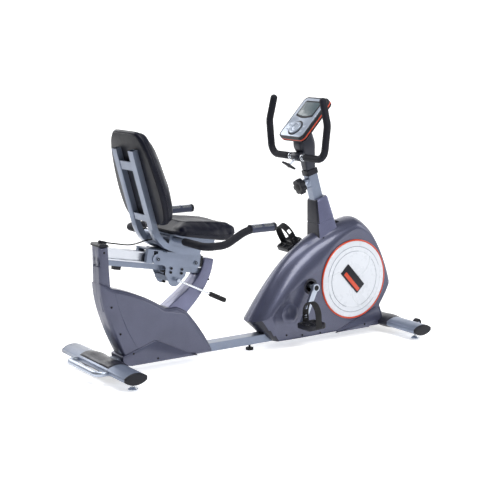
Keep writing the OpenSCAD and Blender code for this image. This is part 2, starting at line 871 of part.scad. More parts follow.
// Pedal with its strap, drawn for the left side at the spindle
module pedal() {
    difference() {
        union() {
            translate([-pedal_len / 2, pedal_in, -12]) cube([pedal_len, pedal_w, 24]);
            rod_y(13, pedal_in - 3, pedal_in + pedal_w);
        }
        rod_y(spindle_r + run, pedal_in - 4, pedal_in + pedal_w - 5);
        for (x = [-pedal_len / 2 + 8, 18])
            for (y = [8, pedal_w / 2 + 3])
                translate([x, pedal_in + y, -13])
                    cube([pedal_len / 2 - 26, pedal_w / 2 - 11, 26]);
    }
    translate([4, 0, 0])
        rotate([0, 0, 90])
            rotate([90, 0, 0])
                translate([pedal_in + pedal_w / 2, 10, 0])
                    linear_extrude(34, center = true)
                        difference() {
                            strap_arch(0);
                            strap_arch(3);
                        }
}

module strap_arch(t) {
    half = pedal_w / 2 - t;
    polygon(concat([[half, 0]],
        [for (i = [0:12]) [half * cos(i * 15) , 38 + (62 - t) * sin(i * 15)]],
        [[-half, 0]]));
}

module pedal_right() color(black)
    translate([crank_x + crank_len * cos(crank_angle), 0, crank_z + crank_len * sin(crank_angle)])
        rotate([0, pedal_tip[0], 0]) mirror([0, 1, 0]) pedal();

module pedal_left() color(black)
    translate([crank_x - crank_len * cos(crank_angle), 0, crank_z - crank_len * sin(crank_angle)])
        rotate([0, pedal_tip[1], 0]) pedal();

// ----------------------------------------------------------- front cover

// Side view of the front cover, from the front stabilizer axis
module front_outline() {
    polygon(concat(
        [[-661, beam_z0 + 2]],
        curve([-780, 135], [-660, 320], [-520, 520], [-195, 570], 14),
        curve([-195, 570], [-130, 575], [-15, 420], [28, 245], 10),
        [[24, 230], [-45, 130], [-30, 78], [-27, beam_z0 + 2]]));
}

module front_belly(inset) {
    hull() {
        standing(0, front_half - 34) offset(delta = -inset) front_outline();
        standing(0, front_half - inset)
            offset(delta = -inset)
                translate([-60, beam_z0 + 2]) scale(0.85) translate([60, -beam_z0 - 2]) front_outline();
    }
}

// Left half of the front cover; the right half is its mirror image
module front_cover_half() {
    difference() {
        translate([x_f, 0, 0]) {
            front_belly(0);
            standing(front_half - 6, front_half + 5)
                polygon([[-330, beam_z0 + 2], [-224, 76], [-84, 128], [-64, 118],
                         [-48, 78], [-48, beam_z0 + 2]]);
        }
        translate([x_f, -1, 0]) front_belly(cover_wall);
        beam_hole();
        translate([x_f, 0, stab_z])
            oval_bar(stab_w + 2 * sleeve_t + 6 + 2 * gap, stab_h + 2 * sleeve_t + 2 * gap, 300);
        translate([crank_x, 0, crank_z]) rod_y(26, 0, front_half + 20);
        translate([upright_x, 0, 300])
            translate([-55, -upright_w / 2 - 6, 0]) cube([100, upright_w + 12, 300]);
    }
}

module front_cover_right() color(shell) mirror([0, 1, 0]) front_cover_half();
module front_cover_left() color(shell) front_cover_half();

module side_discs() color("#eceef0")
    for (m = [0, 1])
        mirror([0, m, 0])
            translate([x_f - 221, 0, 280.5]) {
                rod_y(disc_r - 7, front_half, front_half + 4);
                translate([0, front_half + 4, 0])
                    rotate([-90, 0, 0])
                        cylinder(r1 = disc_r - 7, r2 = disc_r - 30, h = 4);
            }

module disc_rings() color(orange)
    for (m = [0, 1])
        mirror([0, m, 0])
            translate([x_f - 221, 0, 280.5])
                difference() {
                    rod_y(disc_r, front_half, front_half + 6);
                    rod_y(disc_r - 7 + run, front_half - 1, front_half + 7);
                }

module mast_shroud() color(shroud_c)
    difference() {
        hull() {
            translate([x_f - 402, -56, 470]) cube([128, 112, 12]);
            on_mast() translate([-27, -39, -134]) cube([68, 78, 4]);
        }
        hull() {
            translate([x_f - 398, -52, 469]) cube([120, 104, 4]);
            on_mast() translate([-25.6, -35, -142]) cube([62, 70, 4]);
        }
        on_mast() translate([-mast_d / 2 - gap, -mast_w / 2 - gap, -200])
            cube([mast_d + 2 * gap, mast_w + 2 * gap, 200]);
        hull()
            for (m = [0, 1])
                mirror([0, m, 0]) translate([x_f, 0, 0]) front_belly(-gap);
    }

module cover_screws() color(black)
    for (m = [0, 1])
        mirror([0, m, 0]) {
            for (p = [[-4, 532], [506, 362]])
                translate([x_r + p[0], 0, p[1]]) rod_y(4.5, mast_half, mast_half + 2);
            for (p = [[237, 50], [118, 88]])
                translate([x_r + p[0], 0, p[1]]) rod_y(4.5, rear_half + 6, rear_half + 8);
            for (p = [[-610, 62], [-520, 50], [-415, 46]])
                translate([x_f + p[0], 0, p[1]]) rod_y(4.5, front_half, front_half + 2);
            translate([x_f - 150, 0, 52]) rod_y(4.5, front_half + 5, front_half + 7);
        }

// --------------------------------------------------------------- console

module mast_tube() color(silver)
    on_mast() {
        difference() {
            translate([-mast_d / 2, -mast_w / 2, -384]) cube([mast_d, mast_w, 384]);
            translate([-mast_d / 2 + 3, -mast_w / 2 + 3, -385]) cube([mast_d - 6, mast_w - 6, 386]);
            translate([-mast_d / 2 - 1, 0, -48]) rotate([0, 90, 0]) cylinder(r = 6 + run, h = 6);
        }
        translate([-mast_d / 2 - 24, 0, -48])
            rotate([0, 90, 0])
                difference() {
                    cylinder(r = 24, h = 24);
                    translate([0, 0, -1]) cylinder(r = 6 + run, h = 26);
                }
    }

module mast_bushing() color(black)
    on_mast()
        difference() {
            translate([-mast_d / 2 - 4, -mast_w / 2 - 4, -14]) cube([mast_d + 8, mast_w + 8, 26]);
            translate([-mast_d / 2 - gap, -mast_w / 2 - gap, -15])
                cube([mast_d + 2 * gap, mast_w + 2 * gap, 15]);
            translate([-post_d / 2 - gap, -post_w / 2 - gap, -15])
                cube([post_d + 2 * gap, post_w + 2 * gap, 40]);
        }

module inner_post() color("#2a2e3d")
    on_mast()
        difference() {
            union() {
                translate([-post_d / 2, -post_w / 2, -post_in])
                    cube([post_d, post_w, post_in + post_top]);
                translate([grip_r, -25, grip_a - 13]) cube([-grip_r - post_d / 2 + 2, 50, 26]);
                translate([grip_r, 0, grip_a]) rod_y(clamp_r, -25, 25);
            }
            translate([-post_d / 2 + 2.5, -post_w / 2 + 2.5, -post_in - 1])
                cube([post_d - 5, post_w - 5, post_in + post_top - 3]);
            translate([grip_r, 0, grip_a]) rod_y(bar_d / 2 + run, -30, 30);
            translate([grip_r, 0, grip_a])
                rotate([0, 180 + 52 + mast_lean, 0]) cylinder(r = 4 + run, h = 60);
            translate([-60, -40, 160])
                rotate([0, mast_lean - console_tilt, 0])
                    translate([-60, 0, 14]) cube([300, 80, 60]);
        }

module console_boot() color(black)
    on_mast()
        difference() {
            union() {
                hull() {
                    translate([-27, -24, 16]) cube([52, 48, 4]);
                    translate([-24, -30, 74]) cube([62, 60, 4]);
                }
                hull() {
                    translate([-24, -30, 78]) cube([62, 60, 4]);
                    translate([-44, -36, 128]) cube([96, 72, 4]);
                }
            }
            translate([-post_d / 2 - gap, -post_w / 2 - gap, 0])
                cube([post_d + 2 * gap, post_w + 2 * gap, 300]);
            translate([grip_r, 0, grip_a]) rod_y(clamp_r + 0.5, -60, 60);
            translate([grip_r, -25.5, grip_a - 14]) cube([-grip_r, 51, 28]);
        }

module clamp_knob() color(black)
    on_mast()
        translate([grip_r, 0, grip_a])
            rotate([0, 180 + 52 + mast_lean, 0]) {
                translate([0, 0, bar_d / 2 + 1]) cylinder(r = 4, h = 48);
                translate([0, 0, 54]) rotate([0, 0, -27]) {
                    cylinder(r = 10, h = 14);
                    hull()
                        for (s = [-1, 1])
                            translate([0, s * 34, 3]) cylinder(r = 7, h = 8, $fn = 32);
                }
            }

bar_legs = [[150, 82, 55], [95, 26, 60], [112, 0, 0]];
foam_start = 48;
foam_legs = [[150 - foam_start, 82, 55], [95, 26, 60], [112, 0, 0]];

module bar_half(d, bore, legs, start) {
    on_mast()
        translate([grip_r, 0, grip_a])
            rotate([0, mast_lean, 0])
                for (m = [0, 1])
                    mirror([0, m, 0])
                        translate([0, -start, 0])
                            rotate([90, 0, 0])
                                rotate([0, 0, 90])
                                    bent_bar(d, legs, bore);
}

module handlebar() color(chrome) bar_half(bar_d, 0, bar_legs, 0);

module handlebar_foam() color(foam_c) bar_half(bar_foam, bar_d + 2 * run, foam_legs, foam_start);

module post_knob() color(black)
    on_mast()
        translate([-mast_d / 2, 0, -48])
            rotate([0, -90, 0]) {
                translate([0, 0, -3.6]) cylinder(r = 6, h = 34);
                translate([0, 0, 26]) cylinder(r = 26, h = 10);
                translate([0, 0, 32])
                    difference() {
                        cylinder(r = 38, h = 30);
                        for (k = [0:5])
                            rotate([0, 0, k * 60]) translate([44, 0, -1]) cylinder(r = 11, h = 32);
                    }
            }

module console_plate(l, w, r, h) {
    linear_extrude(h)
        hull()
            for (x = [-1, 1], y = [-1, 1])
                translate([x * (l / 2 - r), y * (w / 2 - r)]) circle(r = r, $fn = 32);
}

module console_bezel() color(black)
    on_console()
        difference() {
            translate([0, 0, -bezel_t]) console_plate(console_len, console_w, 24, bezel_t);
            translate([0, 0, -bezel_t - 1])
                console_plate(console_len - 8, console_w - 8, 20, bezel_t - 4);
            translate([screen_x, 0, -2.5]) translate([-36, -58, 0]) cube([72, 116, 4]);
            translate([dial_x, 0, -10]) cylinder(r = 21, h = 20);
        }

module console_housing() color("#1f2027")
    difference() {
        on_console()
            difference() {
                union() {
                    translate([0, 0, -bezel_t - 8])
                        console_plate(console_len, console_w, 24, 8);
                    translate([-6, 0, -bezel_t - housing_t])
                        console_plate(console_len - 50, console_w - 40, 20, housing_t - 4);
                }
                translate([0, 0, -bezel_t - 6]) console_plate(console_len - 8, console_w - 8, 20, 8);
            }
        on_mast()
            translate([-post_d / 2 - gap, -post_w / 2 - gap, 0])
                cube([post_d + 2 * gap, post_w + 2 * gap, post_top + gap]);
    }

module console_screen() color("#5b6b70")
    on_console() translate([screen_x - 36, -58, -2.5]) cube([72, 116, 2.3]);

module console_dial() color("#9aa3b0")
    on_console()
        translate([dial_x, 0, 0])
            difference() {
                translate([0, 0, 0.3]) cylinder(r = 33, h = 8);
                translate([0, 0, -1]) cylinder(r = 20, h = 12);
            }

module enter_button() color("#c3cad4")
    on_console()
        translate([dial_x, 0, -4]) cylinder(r = 19.5, h = 11);

// ----------------------------------------------------------------- cable

// Route of the pulse sensor lead: from the cap on the rear post to the
// lower cross plate of the seat frame, from the rear stabilizer axis
cable_d = 6;
cable_route = [[26, 0, 567], [40, 0, 564], [60, 0, 560], [85, 0, 555], [110, 0, 550], [135, 0, 547],
               [160, 0, 548], [185, 0, 552], [208, 0, 557], [230, 0, 560], [246, 0, 561]];

function ring(k) =
    let (a = cable_route[max(k - 1, 0)],
         b = cable_route[min(k + 1, len(cable_route) - 1)],
         v = (b - a) / norm(b - a))
    [for (i = [0:7])
        cable_route[k] + cable_d / 2 * (cos(i * 45) * [0, 1, 0] + sin(i * 45) * [-v[2], 0, v[0]])];

module sensor_cable() color(black) {
    n = len(cable_route);
    translate([x_r, 0, 0])
        polyhedron(
            points = [for (k = [0:n - 1]) each ring(k)],
            faces = concat(
                [[for (i = [0:7]) i]],
                [for (k = [0:n - 2], i = [0:7])
                    [k * 8 + i, (k + 1) * 8 + i, (k + 1) * 8 + (i + 1) % 8, k * 8 + (i + 1) % 8]],
                [[for (i = [7:-1:0]) (n - 1) * 8 + i]]));
}

main_beam();
rear_stabilizer();
front_stabilizer();
stabilizer_caps();
lift_handle();
joint_covers();
seat_support();
rear_cover_right();
rear_cover_left();
post_cap();
seat_rail();
rail_tube();
rail_bumpers();
front_frame();
front_cover_right();
front_cover_left();
side_discs();
disc_rings();
mast_shroud();
mast_tube();
mast_bushing();
axle_bearings();
drive_belt();
cover_screws();
sensor_cable();
middle_foot();
foot(x_r, -rear_stab_len / 2 + foot_inset);  // foot_rear_right
foot(x_r, rear_stab_len / 2 - foot_inset);  // foot_rear_left
foot(x_f, -front_stab_len / 2 + foot_inset_front);  // foot_front_right
foot(x_f, front_stab_len / 2 - foot_inset_front);  // foot_front_left
transport_wheels();
seat_carriage();
roller_pair(0);  // rollers_rear
roller_pair(roller_gap);  // rollers_front
seat_frame();
seat_cushion();
back_cushion();
side_bar();
side_bar_foam();
pulse_grips();
release_lever();
brake_shoe();
crank_axle();
crank_arms();
drive_pulley();
pedal_right();
pedal_left();
flywheel();
magnet_bracket();
inner_post();
console_boot();
clamp_knob();
handlebar();
handlebar_foam();
post_knob();
console_housing();
console_bezel();
console_screen();
console_dial();
enter_button();
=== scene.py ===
"""Looks of the recumbent exercise bike: builds the covers, cushions, grips, console
details and materials round the packed CAD frame, then the studio and the camera."""

import json
import math

import bmesh
import bpy
from bpy.props import FloatProperty, PointerProperty
from mathutils import Matrix, Vector
from mathutils.bvhtree import BVHTree

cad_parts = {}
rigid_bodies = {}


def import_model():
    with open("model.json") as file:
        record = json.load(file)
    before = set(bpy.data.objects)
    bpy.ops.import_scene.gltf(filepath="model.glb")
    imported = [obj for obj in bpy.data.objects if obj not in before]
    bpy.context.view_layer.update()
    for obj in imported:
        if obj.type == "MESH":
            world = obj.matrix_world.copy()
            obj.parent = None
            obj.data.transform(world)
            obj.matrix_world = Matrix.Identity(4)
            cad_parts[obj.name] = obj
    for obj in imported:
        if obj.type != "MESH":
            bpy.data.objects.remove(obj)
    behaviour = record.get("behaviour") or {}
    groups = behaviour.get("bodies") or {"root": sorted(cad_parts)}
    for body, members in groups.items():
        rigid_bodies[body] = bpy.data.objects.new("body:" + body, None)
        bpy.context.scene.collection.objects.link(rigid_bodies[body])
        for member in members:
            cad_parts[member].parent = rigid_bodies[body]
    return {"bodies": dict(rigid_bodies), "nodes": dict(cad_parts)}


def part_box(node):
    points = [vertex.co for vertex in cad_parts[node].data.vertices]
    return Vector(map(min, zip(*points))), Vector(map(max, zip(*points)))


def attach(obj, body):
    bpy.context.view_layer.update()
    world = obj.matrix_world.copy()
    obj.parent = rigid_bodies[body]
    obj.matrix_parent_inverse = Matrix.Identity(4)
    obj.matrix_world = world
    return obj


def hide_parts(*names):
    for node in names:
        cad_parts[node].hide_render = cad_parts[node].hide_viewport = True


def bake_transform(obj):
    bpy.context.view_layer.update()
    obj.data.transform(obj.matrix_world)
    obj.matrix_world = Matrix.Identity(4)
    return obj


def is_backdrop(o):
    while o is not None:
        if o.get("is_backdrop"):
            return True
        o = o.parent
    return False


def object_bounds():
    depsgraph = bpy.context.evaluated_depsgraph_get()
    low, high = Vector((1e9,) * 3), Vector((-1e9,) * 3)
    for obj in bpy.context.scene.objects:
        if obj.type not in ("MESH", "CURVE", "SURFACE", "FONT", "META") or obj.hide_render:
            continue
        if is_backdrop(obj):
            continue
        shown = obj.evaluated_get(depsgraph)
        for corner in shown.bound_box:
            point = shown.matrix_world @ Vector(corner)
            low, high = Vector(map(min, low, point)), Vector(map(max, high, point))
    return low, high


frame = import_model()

bl_info = {
    "name": "Recumbent Exercise Bike",
    "version": (1, 0, 0),
    "blender": (4, 5, 0),
    "location": "View3D > Sidebar > Bike",
    "description": "Builds the visible shell, upholstery, console and studio of an exercise bike",
    "category": "Object",
}

MM = 0.001
TAU = 2 * math.pi

# --------------------------------------------------------------------- helpers


def mm(*values):
    """A point or list of lengths given in millimetres, in metres."""
    return tuple(v * MM for v in values)


def lerp(a, b, t):
    """The value a share t of the way from a to b."""
    return a + (b - a) * t


def smooth_step(t):
    """Eases a share from 0 to 1."""
    t = max(0.0, min(1.0, t))
    return t * t * (3 - 2 * t)


def cubic(a, b, c, d, steps):
    """Points on the cubic curve from a to d with handles b and c."""
    points = []
    for i in range(steps + 1):
        t = i / steps
        k = ((1 - t) ** 3, 3 * t * (1 - t) ** 2, 3 * t * t * (1 - t), t**3)
        points.append(tuple(k[0] * p + k[1] * q + k[2] * r + k[3] * s for p, q, r, s in zip(a, b, c, d)))
    return points


def spline(points, per_leg=8, closed=False):
    """A smooth Catmull-Rom line through the points."""
    points = [Vector(p) for p in points]
    n = len(points)
    out = []
    legs = n if closed else n - 1
    for i in range(legs):
        p0 = points[(i - 1) % n] if closed or i > 0 else points[0] * 2 - points[1]
        p1, p2 = points[i % n], points[(i + 1) % n]
        p3 = points[(i + 2) % n] if closed or i + 2 < n else points[-1] * 2 - points[-2]
        for k in range(per_leg):
            t = k / per_leg
            out.append(
                0.5 * (2 * p1 + (p2 - p0) * t + (2 * p0 - 5 * p1 + 4 * p2 - p3) * t * t
                       + (3 * p1 - p0 - 3 * p2 + p3) * t**3)
            )
    if not closed:
        out.append(points[-1])
    return out


def rounded(points, radius, steps=6):
    """The closed or open 2-D or 3-D path with each inner corner turned into an arc."""
    out = [Vector(points[0])]
    for a, b, c in zip(points, points[1:], points[2:]):
        a, b, c = Vector(a), Vector(b), Vector(c)
        reach = min(radius, (a - b).length * 0.45, (c - b).length * 0.45)
        p, q = b + (a - b).normalized() * reach, b + (c - b).normalized() * reach
        for i in range(steps + 1):
            t = i / steps
            out.append(p * (1 - t) ** 2 + b * 2 * t * (1 - t) + q * t * t)
    out.append(Vector(points[-1]))
    return out


def box_centre(node):
    """Centre of a CAD node's box."""
    low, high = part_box(node)
    return (Vector(low) + Vector(high)) / 2


def new_mesh(name, verts, faces, material=None, angle=40):
    """A mesh object with outward normals and edges sharp only above the given angle."""
    data = bpy.data.meshes.new(name)
    data.from_pydata([tuple(v) for v in verts], [], faces)
    work = bmesh.new()
    work.from_mesh(data)
    bmesh.ops.remove_doubles(work, verts=work.verts, dist=1e-6)
    bmesh.ops.dissolve_degenerate(work, edges=work.edges, dist=1e-7)
    bmesh.ops.recalc_face_normals(work, faces=work.faces)
    work.to_mesh(data)
    work.free()
    data.shade_smooth()
    data.set_sharp_from_angle(angle=math.radians(angle))
    if material:
        data.materials.append(material)
    obj = bpy.data.objects.new(name, data)
    bpy.context.scene.collection.objects.link(obj)
    return obj


def joined(name, objects):
    """Joins mesh objects into one of the given name, keeping their materials."""
    for o in bpy.context.selected_objects:
        o.select_set(False)
    for o in objects:
        o.select_set(True)
    bpy.context.view_layer.objects.active = objects[0]
    if len(objects) > 1:
        bpy.ops.object.join()
    result = bpy.context.view_layer.objects.active
    result.name = name
    result.data.name = name
    result.select_set(False)
    return result


def applied(obj):
    """Replaces the object's mesh by what its modifiers make of it."""
    depsgraph = bpy.context.evaluated_depsgraph_get()
    data = bpy.data.meshes.new_from_object(obj.evaluated_get(depsgraph))
    obj.modifiers.clear()
    obj.data = data
    return obj


def placed(obj, matrix):
    """Moves the mesh itself, so the object stays at the origin."""
    obj.data.transform(matrix)
    obj.data.update()
    return obj


def mirrored_y(obj, name):
    """A copy of the object on the other side of the middle plane."""
    data = obj.data.copy()
    data.transform(Matrix.Scale(-1, 4, (0, 1, 0)))
    data.flip_normals()
    other = bpy.data.objects.new(name, data)
    bpy.context.scene.collection.objects.link(other)
    return other


def ring_faces(rings, count, cap_start=True, cap_end=True):
    """Quads between successive rings of the same count, and flat caps at the ends."""
    faces = []
    for r in range(rings - 1):
        for i in range(count):
            j = (i + 1) % count
            faces.append((r * count + i, r * count + j, (r + 1) * count + j, (r + 1) * count + i))
    if cap_start:
        faces.append(tuple(range(count - 1, -1, -1)))
    if cap_end:
        faces.append(tuple(range((rings - 1) * count, rings * count)))
    return faces


def revolve(name, profile, material, steps=64, angle=35):
    """A solid of revolution about Z from (radius, height) points; closed at both ends."""
    verts = []
    for radius, height in profile:
        for i in range(steps):
            a = TAU * i / steps
            verts.append((radius * math.cos(a), radius * math.sin(a), height))
    closed = profile[0] == profile[-1]
    faces = ring_faces(len(profile), steps, cap_start=not closed, cap_end=not closed)
    return new_mesh(name, verts, faces, material, angle)


def slab(name, outline, low, high, material, chamfer=0.0, steps=3, angle=40):
    """A flat shape in X and Y between two heights, with rounded rims."""
    outline = [Vector((p[0], p[1])) for p in outline]
    area = sum(a.x * b.y - b.x * a.y for a, b in zip(outline, outline[1:] + outline[:1]))
    if area < 0:
        outline.reverse()
    normals = inward_normals(outline)
    rims = [(0.0, low), (0.0, high)]
    if chamfer > 0:
        arc = [math.pi / 2 * i / steps for i in range(steps + 1)]
        rims = [(chamfer * (1 - math.sin(a)), low + chamfer * (1 - math.cos(a))) for a in arc]
        rims += [(chamfer * (1 - math.cos(a)), high - chamfer * (1 - math.sin(a))) for a in arc]
    verts = []
    for inset, height in rims:
        for p, n in zip(outline, normals):
            q = p + n * inset
            verts.append((q.x, q.y, height))
    return new_mesh(name, verts, ring_faces(len(rims), len(outline)), material, angle)


def inward_normals(outline):
    """Unit inward normals at the points of a counter-clockwise outline, mitred."""
    out = []
    n = len(outline)
    for i in range(n):
        a = (outline[i] - outline[i - 1]).normalized()
        b = (outline[(i + 1) % n] - outline[i]).normalized()
        na, nb = Vector((-a.y, a.x)), Vector((-b.y, b.x))
        m = (na + nb).normalized() if (na + nb).length > 1e-6 else na
        out.append(m / max(0.35, m.dot(na)))
    return out


def round_rect(length, width, radius, steps=6):
    """Outline of a rectangle centred on the origin with rounded corners."""
    points = []
    for cx, cy, start in ((1, 1, 0), (-1, 1, 90), (-1, -1, 180), (1, -1, 270)):
        for i in range(steps + 1):
            a = math.radians(start + 90 * i / steps)
            points.append((cx * (length / 2 - radius) + radius * math.cos(a),
                           cy * (width / 2 - radius) + radius * math.sin(a)))
    return points


def rotation_minimal(path, start_side):
    """Sideways unit vectors along the path that turn no more than they need to."""
    sides = []
    side = Vector(start_side)
    for i in range(len(path)):
        ahead = path[min(i + 1, len(path) - 1)] - path[max(i - 1, 0)]
        ahead.normalize()
        side = (side - ahead * side.dot(ahead)).normalized()
        sides.append((side, ahead.cross(side)))
    return sides


def sweep(name, path, section, material, side=(0, 1, 0), angle=40, closed=False):
    """A section, as (across, up) points, carried along a path."""
    path = [Vector(p) for p in path]
    verts = []
    for p, (a, b) in zip(path, rotation_minimal(path, side)):
        verts += [p + a * u + b * v for u, v in section]
    faces = ring_faces(len(path), len(section), cap_start=not closed, cap_end=not closed)
    if closed:
        last, count = (len(path) - 1) * len(section), len(section)
        faces += [(last + i, last + (i + 1) % count, (i + 1) % count, i) for i in range(count)]
    return new_mesh(name, verts, faces, material, angle)


def circle_section(radius, count=24):
    """Points of a round section."""
    return [(radius * math.cos(TAU * i / count), radius * math.sin(TAU * i / count)) for i in range(count)]


def capsule_path(path, radius, steps=6):
    """The path with extra close-set points at both ends, and a scale that rounds the ends off."""
    path = [Vector(p) for p in path]
    start, end = (path[0] - path[1]).normalized(), (path[-1] - path[-2]).normalized()
    turns = [math.pi / 2 * i / steps for i in range(steps)]
    head = [(path[0] - start * radius * (1 - math.cos(a)), math.sin(a)) for a in turns]
    tail = [(path[-1] - end * radius * (1 - math.cos(a)), math.sin(a)) for a in reversed(turns)]
    inner = [p for p in path if (p - path[0]).length > radius and (p - path[-1]).length > radius]
    points = [p for p, _ in head] + inner + [p for p, _ in tail]
    sizes = [max(0.02, s) for _, s in head] + [1.0] * len(inner) + [max(0.02, s) for _, s in tail]
    return points, sizes


def capsule(name, path, radius, material, count=28, end_steps=6):
    """A round bar along the path with domed ends."""
    points, sizes = capsule_path(path, radius, end_steps)
    frames = rotation_minimal(points, (0, 0.1, 1))
    verts = []
    for p, k, (a, b) in zip(points, sizes, frames):
        verts += [p + a * (u * k) + b * (v * k) for u, v in circle_section(radius, count)]
    return new_mesh(name, verts, ring_faces(len(points), count), material, 60)


def on_rail(s, y, t):
    """A point given in millimetres along, across and square to the seat rail."""
    return RAIL_ORIGIN + RAIL_S * (s * MM) + Vector((0, y * MM, 0)) + RAIL_T * (t * MM)


def on_mast(f, y, u):
    """A point given in millimetres ahead of, across and up the console mast."""
    return MAST_ORIGIN + MAST_F * (f * MM) + Vector((0, y * MM, 0)) + MAST_U * (u * MM)


def frame_matrix(origin, x_axis, z_axis):
    """The placement whose local X and Z point along the given directions."""
    x_axis, z_axis = Vector(x_axis).normalized(), Vector(z_axis).normalized()
    y_axis = z_axis.cross(x_axis)
    m = Matrix((x_axis, y_axis, z_axis)).transposed().to_4x4()
    m.translation = Vector(origin)
    return m


def shell_side(name, outline, levels, material, centre=None, angle=30):
    """One solid, mirror-symmetric about Y, from an XZ outline: each level is (y, insets),
    with one inset per outline point taken towards the centre or along the inward normal."""
    outline = [Vector(p) for p in outline]
    area = sum(a.x * b.y - b.x * a.y for a, b in zip(outline, outline[1:] + outline[:1]))
    if area < 0:
        outline.reverse()
        levels = [(y, list(reversed(inset))) for y, inset in levels]
    if centre:
        inward = [(Vector(centre) - p).normalized() for p in outline]
    else:
        inward = inward_normals(outline)
    both = [(-y, inset) for y, inset in reversed(levels) if y > 0] + list(levels)
    verts = []
    for y, insets in both:
        for p, n, inset in zip(outline, inward, insets):
            q = p + n * inset
            verts.append((q.x, y, q.y))
    return new_mesh(name, verts, ring_faces(len(both), len(outline)), material, angle)


def cut(obj, cutters):
    """Takes the cutters away from the object, exactly."""
    for cutter in cutters:
        mod = obj.modifiers.new("cut", "BOOLEAN")
        mod.operation = "DIFFERENCE"
        mod.solver = "EXACT"
        mod.object = cutter
    materials = list(obj.data.materials)
    applied(obj)
    for k, m in enumerate(materials):
        if k < len(obj.data.materials):
            obj.data.materials[k] = m
    for cutter in cutters:
        bpy.data.objects.remove(cutter)
    return obj


def block(name, low, high, material=None):
    """An upright box between two corners, in metres."""
    (x0, y0, z0), (x1, y1, z1) = low, high
    verts = [(x, y, z) for z in (z0, z1) for x, y in ((x0, y0), (x1, y0), (x1, y1), (x0, y1))]
    faces = [(3, 2, 1, 0), (4, 5, 6, 7)] + [(i, (i + 1) % 4, 4 + (i + 1) % 4, 4 + i) for i in range(4)]
    return new_mesh(name, verts, faces, material)


def rod_y(name, centre, radius, y0, y1, material=None, steps=48):
    """A round bar along Y through an (x, z) centre, in metres."""
    bar = revolve(name, [(radius, 0), (radius, y1 - y0)], material, steps)
    return placed(bar, Matrix.Translation((centre[0], y1, centre[1])) @ Matrix.Rotation(math.pi / 2, 4, "X"))


def bevelled(obj, width, segments=2, angle=30):
    """Adds a rounded-edge modifier that leaves the mesh itself alone."""
    mod = obj.modifiers.new("edges", "BEVEL")
    mod.width = width
    mod.segments = segments
    mod.limit_method = "ANGLE"
    mod.angle_limit = math.radians(angle)
    mod.harden_normals = True
    return obj


# ------------------------------------------------------------------- materials


class Value:
    """A shader socket or number on which arithmetic builds math nodes."""

    def __init__(self, shader, source):
        self.shader = shader
        self.source = source

    def math(self, kind, *others):
        """A math node of this value and the others."""
        return self.shader.maths(kind, self, *others)

    def __add__(self, other):
        return self.math("ADD", other)

    __radd__ = __add__

    def __mul__(self, other):
        return self.math("MULTIPLY", other)

    __rmul__ = __mul__

    def __sub__(self, other):
        return self.math("SUBTRACT", other)

    def absolute(self):
        return self.math("ABSOLUTE")

    def fraction(self):
        return self.math("FRACT")


class Shader:
    """One procedural material under construction."""

    def __init__(self, name):
        self.material = bpy.data.materials.new(name)
        self.material.use_nodes = True
        self.nodes = self.material.node_tree.nodes
        self.links = self.material.node_tree.links
        self.nodes.clear()

    def node(self, kind, settings=(), values=(), output=0):
        """A node of the type, with its settings made before its values and links."""
        node = self.nodes.new(kind)
        for key, value in dict(settings).items():
            setattr(node, key, value)
        for key, value in dict(values).items():
            if isinstance(value, Value):
                self.links.new(value.source, node.inputs[key])
            else:
                node.inputs[key].default_value = value
        return Value(self, node.outputs[output]) if len(node.outputs) else None

    def maths(self, kind, *inputs):
        return self.node("ShaderNodeMath", {"operation": kind}, dict(enumerate(inputs)))

    def place(self):
        """Object coordinates."""
        return self.node("ShaderNodeTexCoord", output="Object")

    def axes(self, scale=1.0):
        """The three object coordinates as values, scaled."""
        split = self.node("ShaderNodeSeparateXYZ", (), {0: self.place()})
        node = split.source.node
        return [Value(self, node.outputs[i]) * scale for i in range(3)]

    def stretched(self, scale):
        """Object coordinates scaled differently along each axis."""
        return self.node("ShaderNodeVectorMath", {"operation": "MULTIPLY"}, {0: self.place(), 1: scale})

    def noise(self, scale, detail=2.0, rough=0.5, vector=None):
        """Fractal noise over the object's own coordinates, or over a vector."""
        values = {"Vector": vector or self.place(), "Scale": scale, "Detail": detail, "Roughness": rough}
        return self.node("ShaderNodeTexNoise", (), values)

    def cells(self, scale, feature="F1"):
        """Cells over the object's own coordinates."""
        values = {"Vector": self.place(), "Scale": scale}
        return self.node("ShaderNodeTexVoronoi", {"feature": feature}, values)

    def mixed(self, factor, a, b):
        """A colour between a and b."""
        return self.node("ShaderNodeMix", {"data_type": "RGBA"}, {0: factor, 6: a, 7: b}, 2)

    def ramp(self, value, low, high, bottom, top):
        """The value stretched from low..high to bottom..top."""
        values = {0: value, 1: low, 2: high, 3: bottom, 4: top}
        return self.node("ShaderNodeMapRange", {"clamp": True}, values)

    def bump(self, height, strength, distance):
        """A normal tilted by the height."""
        values = {"Height": height, "Strength": strength, "Distance": distance}
        return self.node("ShaderNodeBump", (), values)

    def principled(self, **inputs):
        """The surface itself; the names use spaces for underscores."""
        values = {key.replace("_", " "): value for key, value in inputs.items()}
        surface = self.node("ShaderNodeBsdfPrincipled", (), values, "BSDF")
        self.node("ShaderNodeOutputMaterial", (), {"Surface": surface})
        return self.material


def rgb(red, green, blue):
    """A colour from 0-255 display values, as linear RGBA."""
    out = []
    for c in (red, green, blue):
        c /= 255
        out.append(c / 12.92 if c <= 0.04045 else ((c + 0.055) / 1.055) ** 2.4)
    return (*out, 1.0)


def grime(s, base, dark=0.82, scale=9.0):
    """A base colour a little uneven over the piece, as handled paint is."""
    shade = s.ramp(s.noise(scale, 5, 0.6), 0.35, 0.7, 0.0, 1.0)
    darker = tuple(c * dark for c in base[:3]) + (1.0,)
    return s.mixed(shade, darker, base)


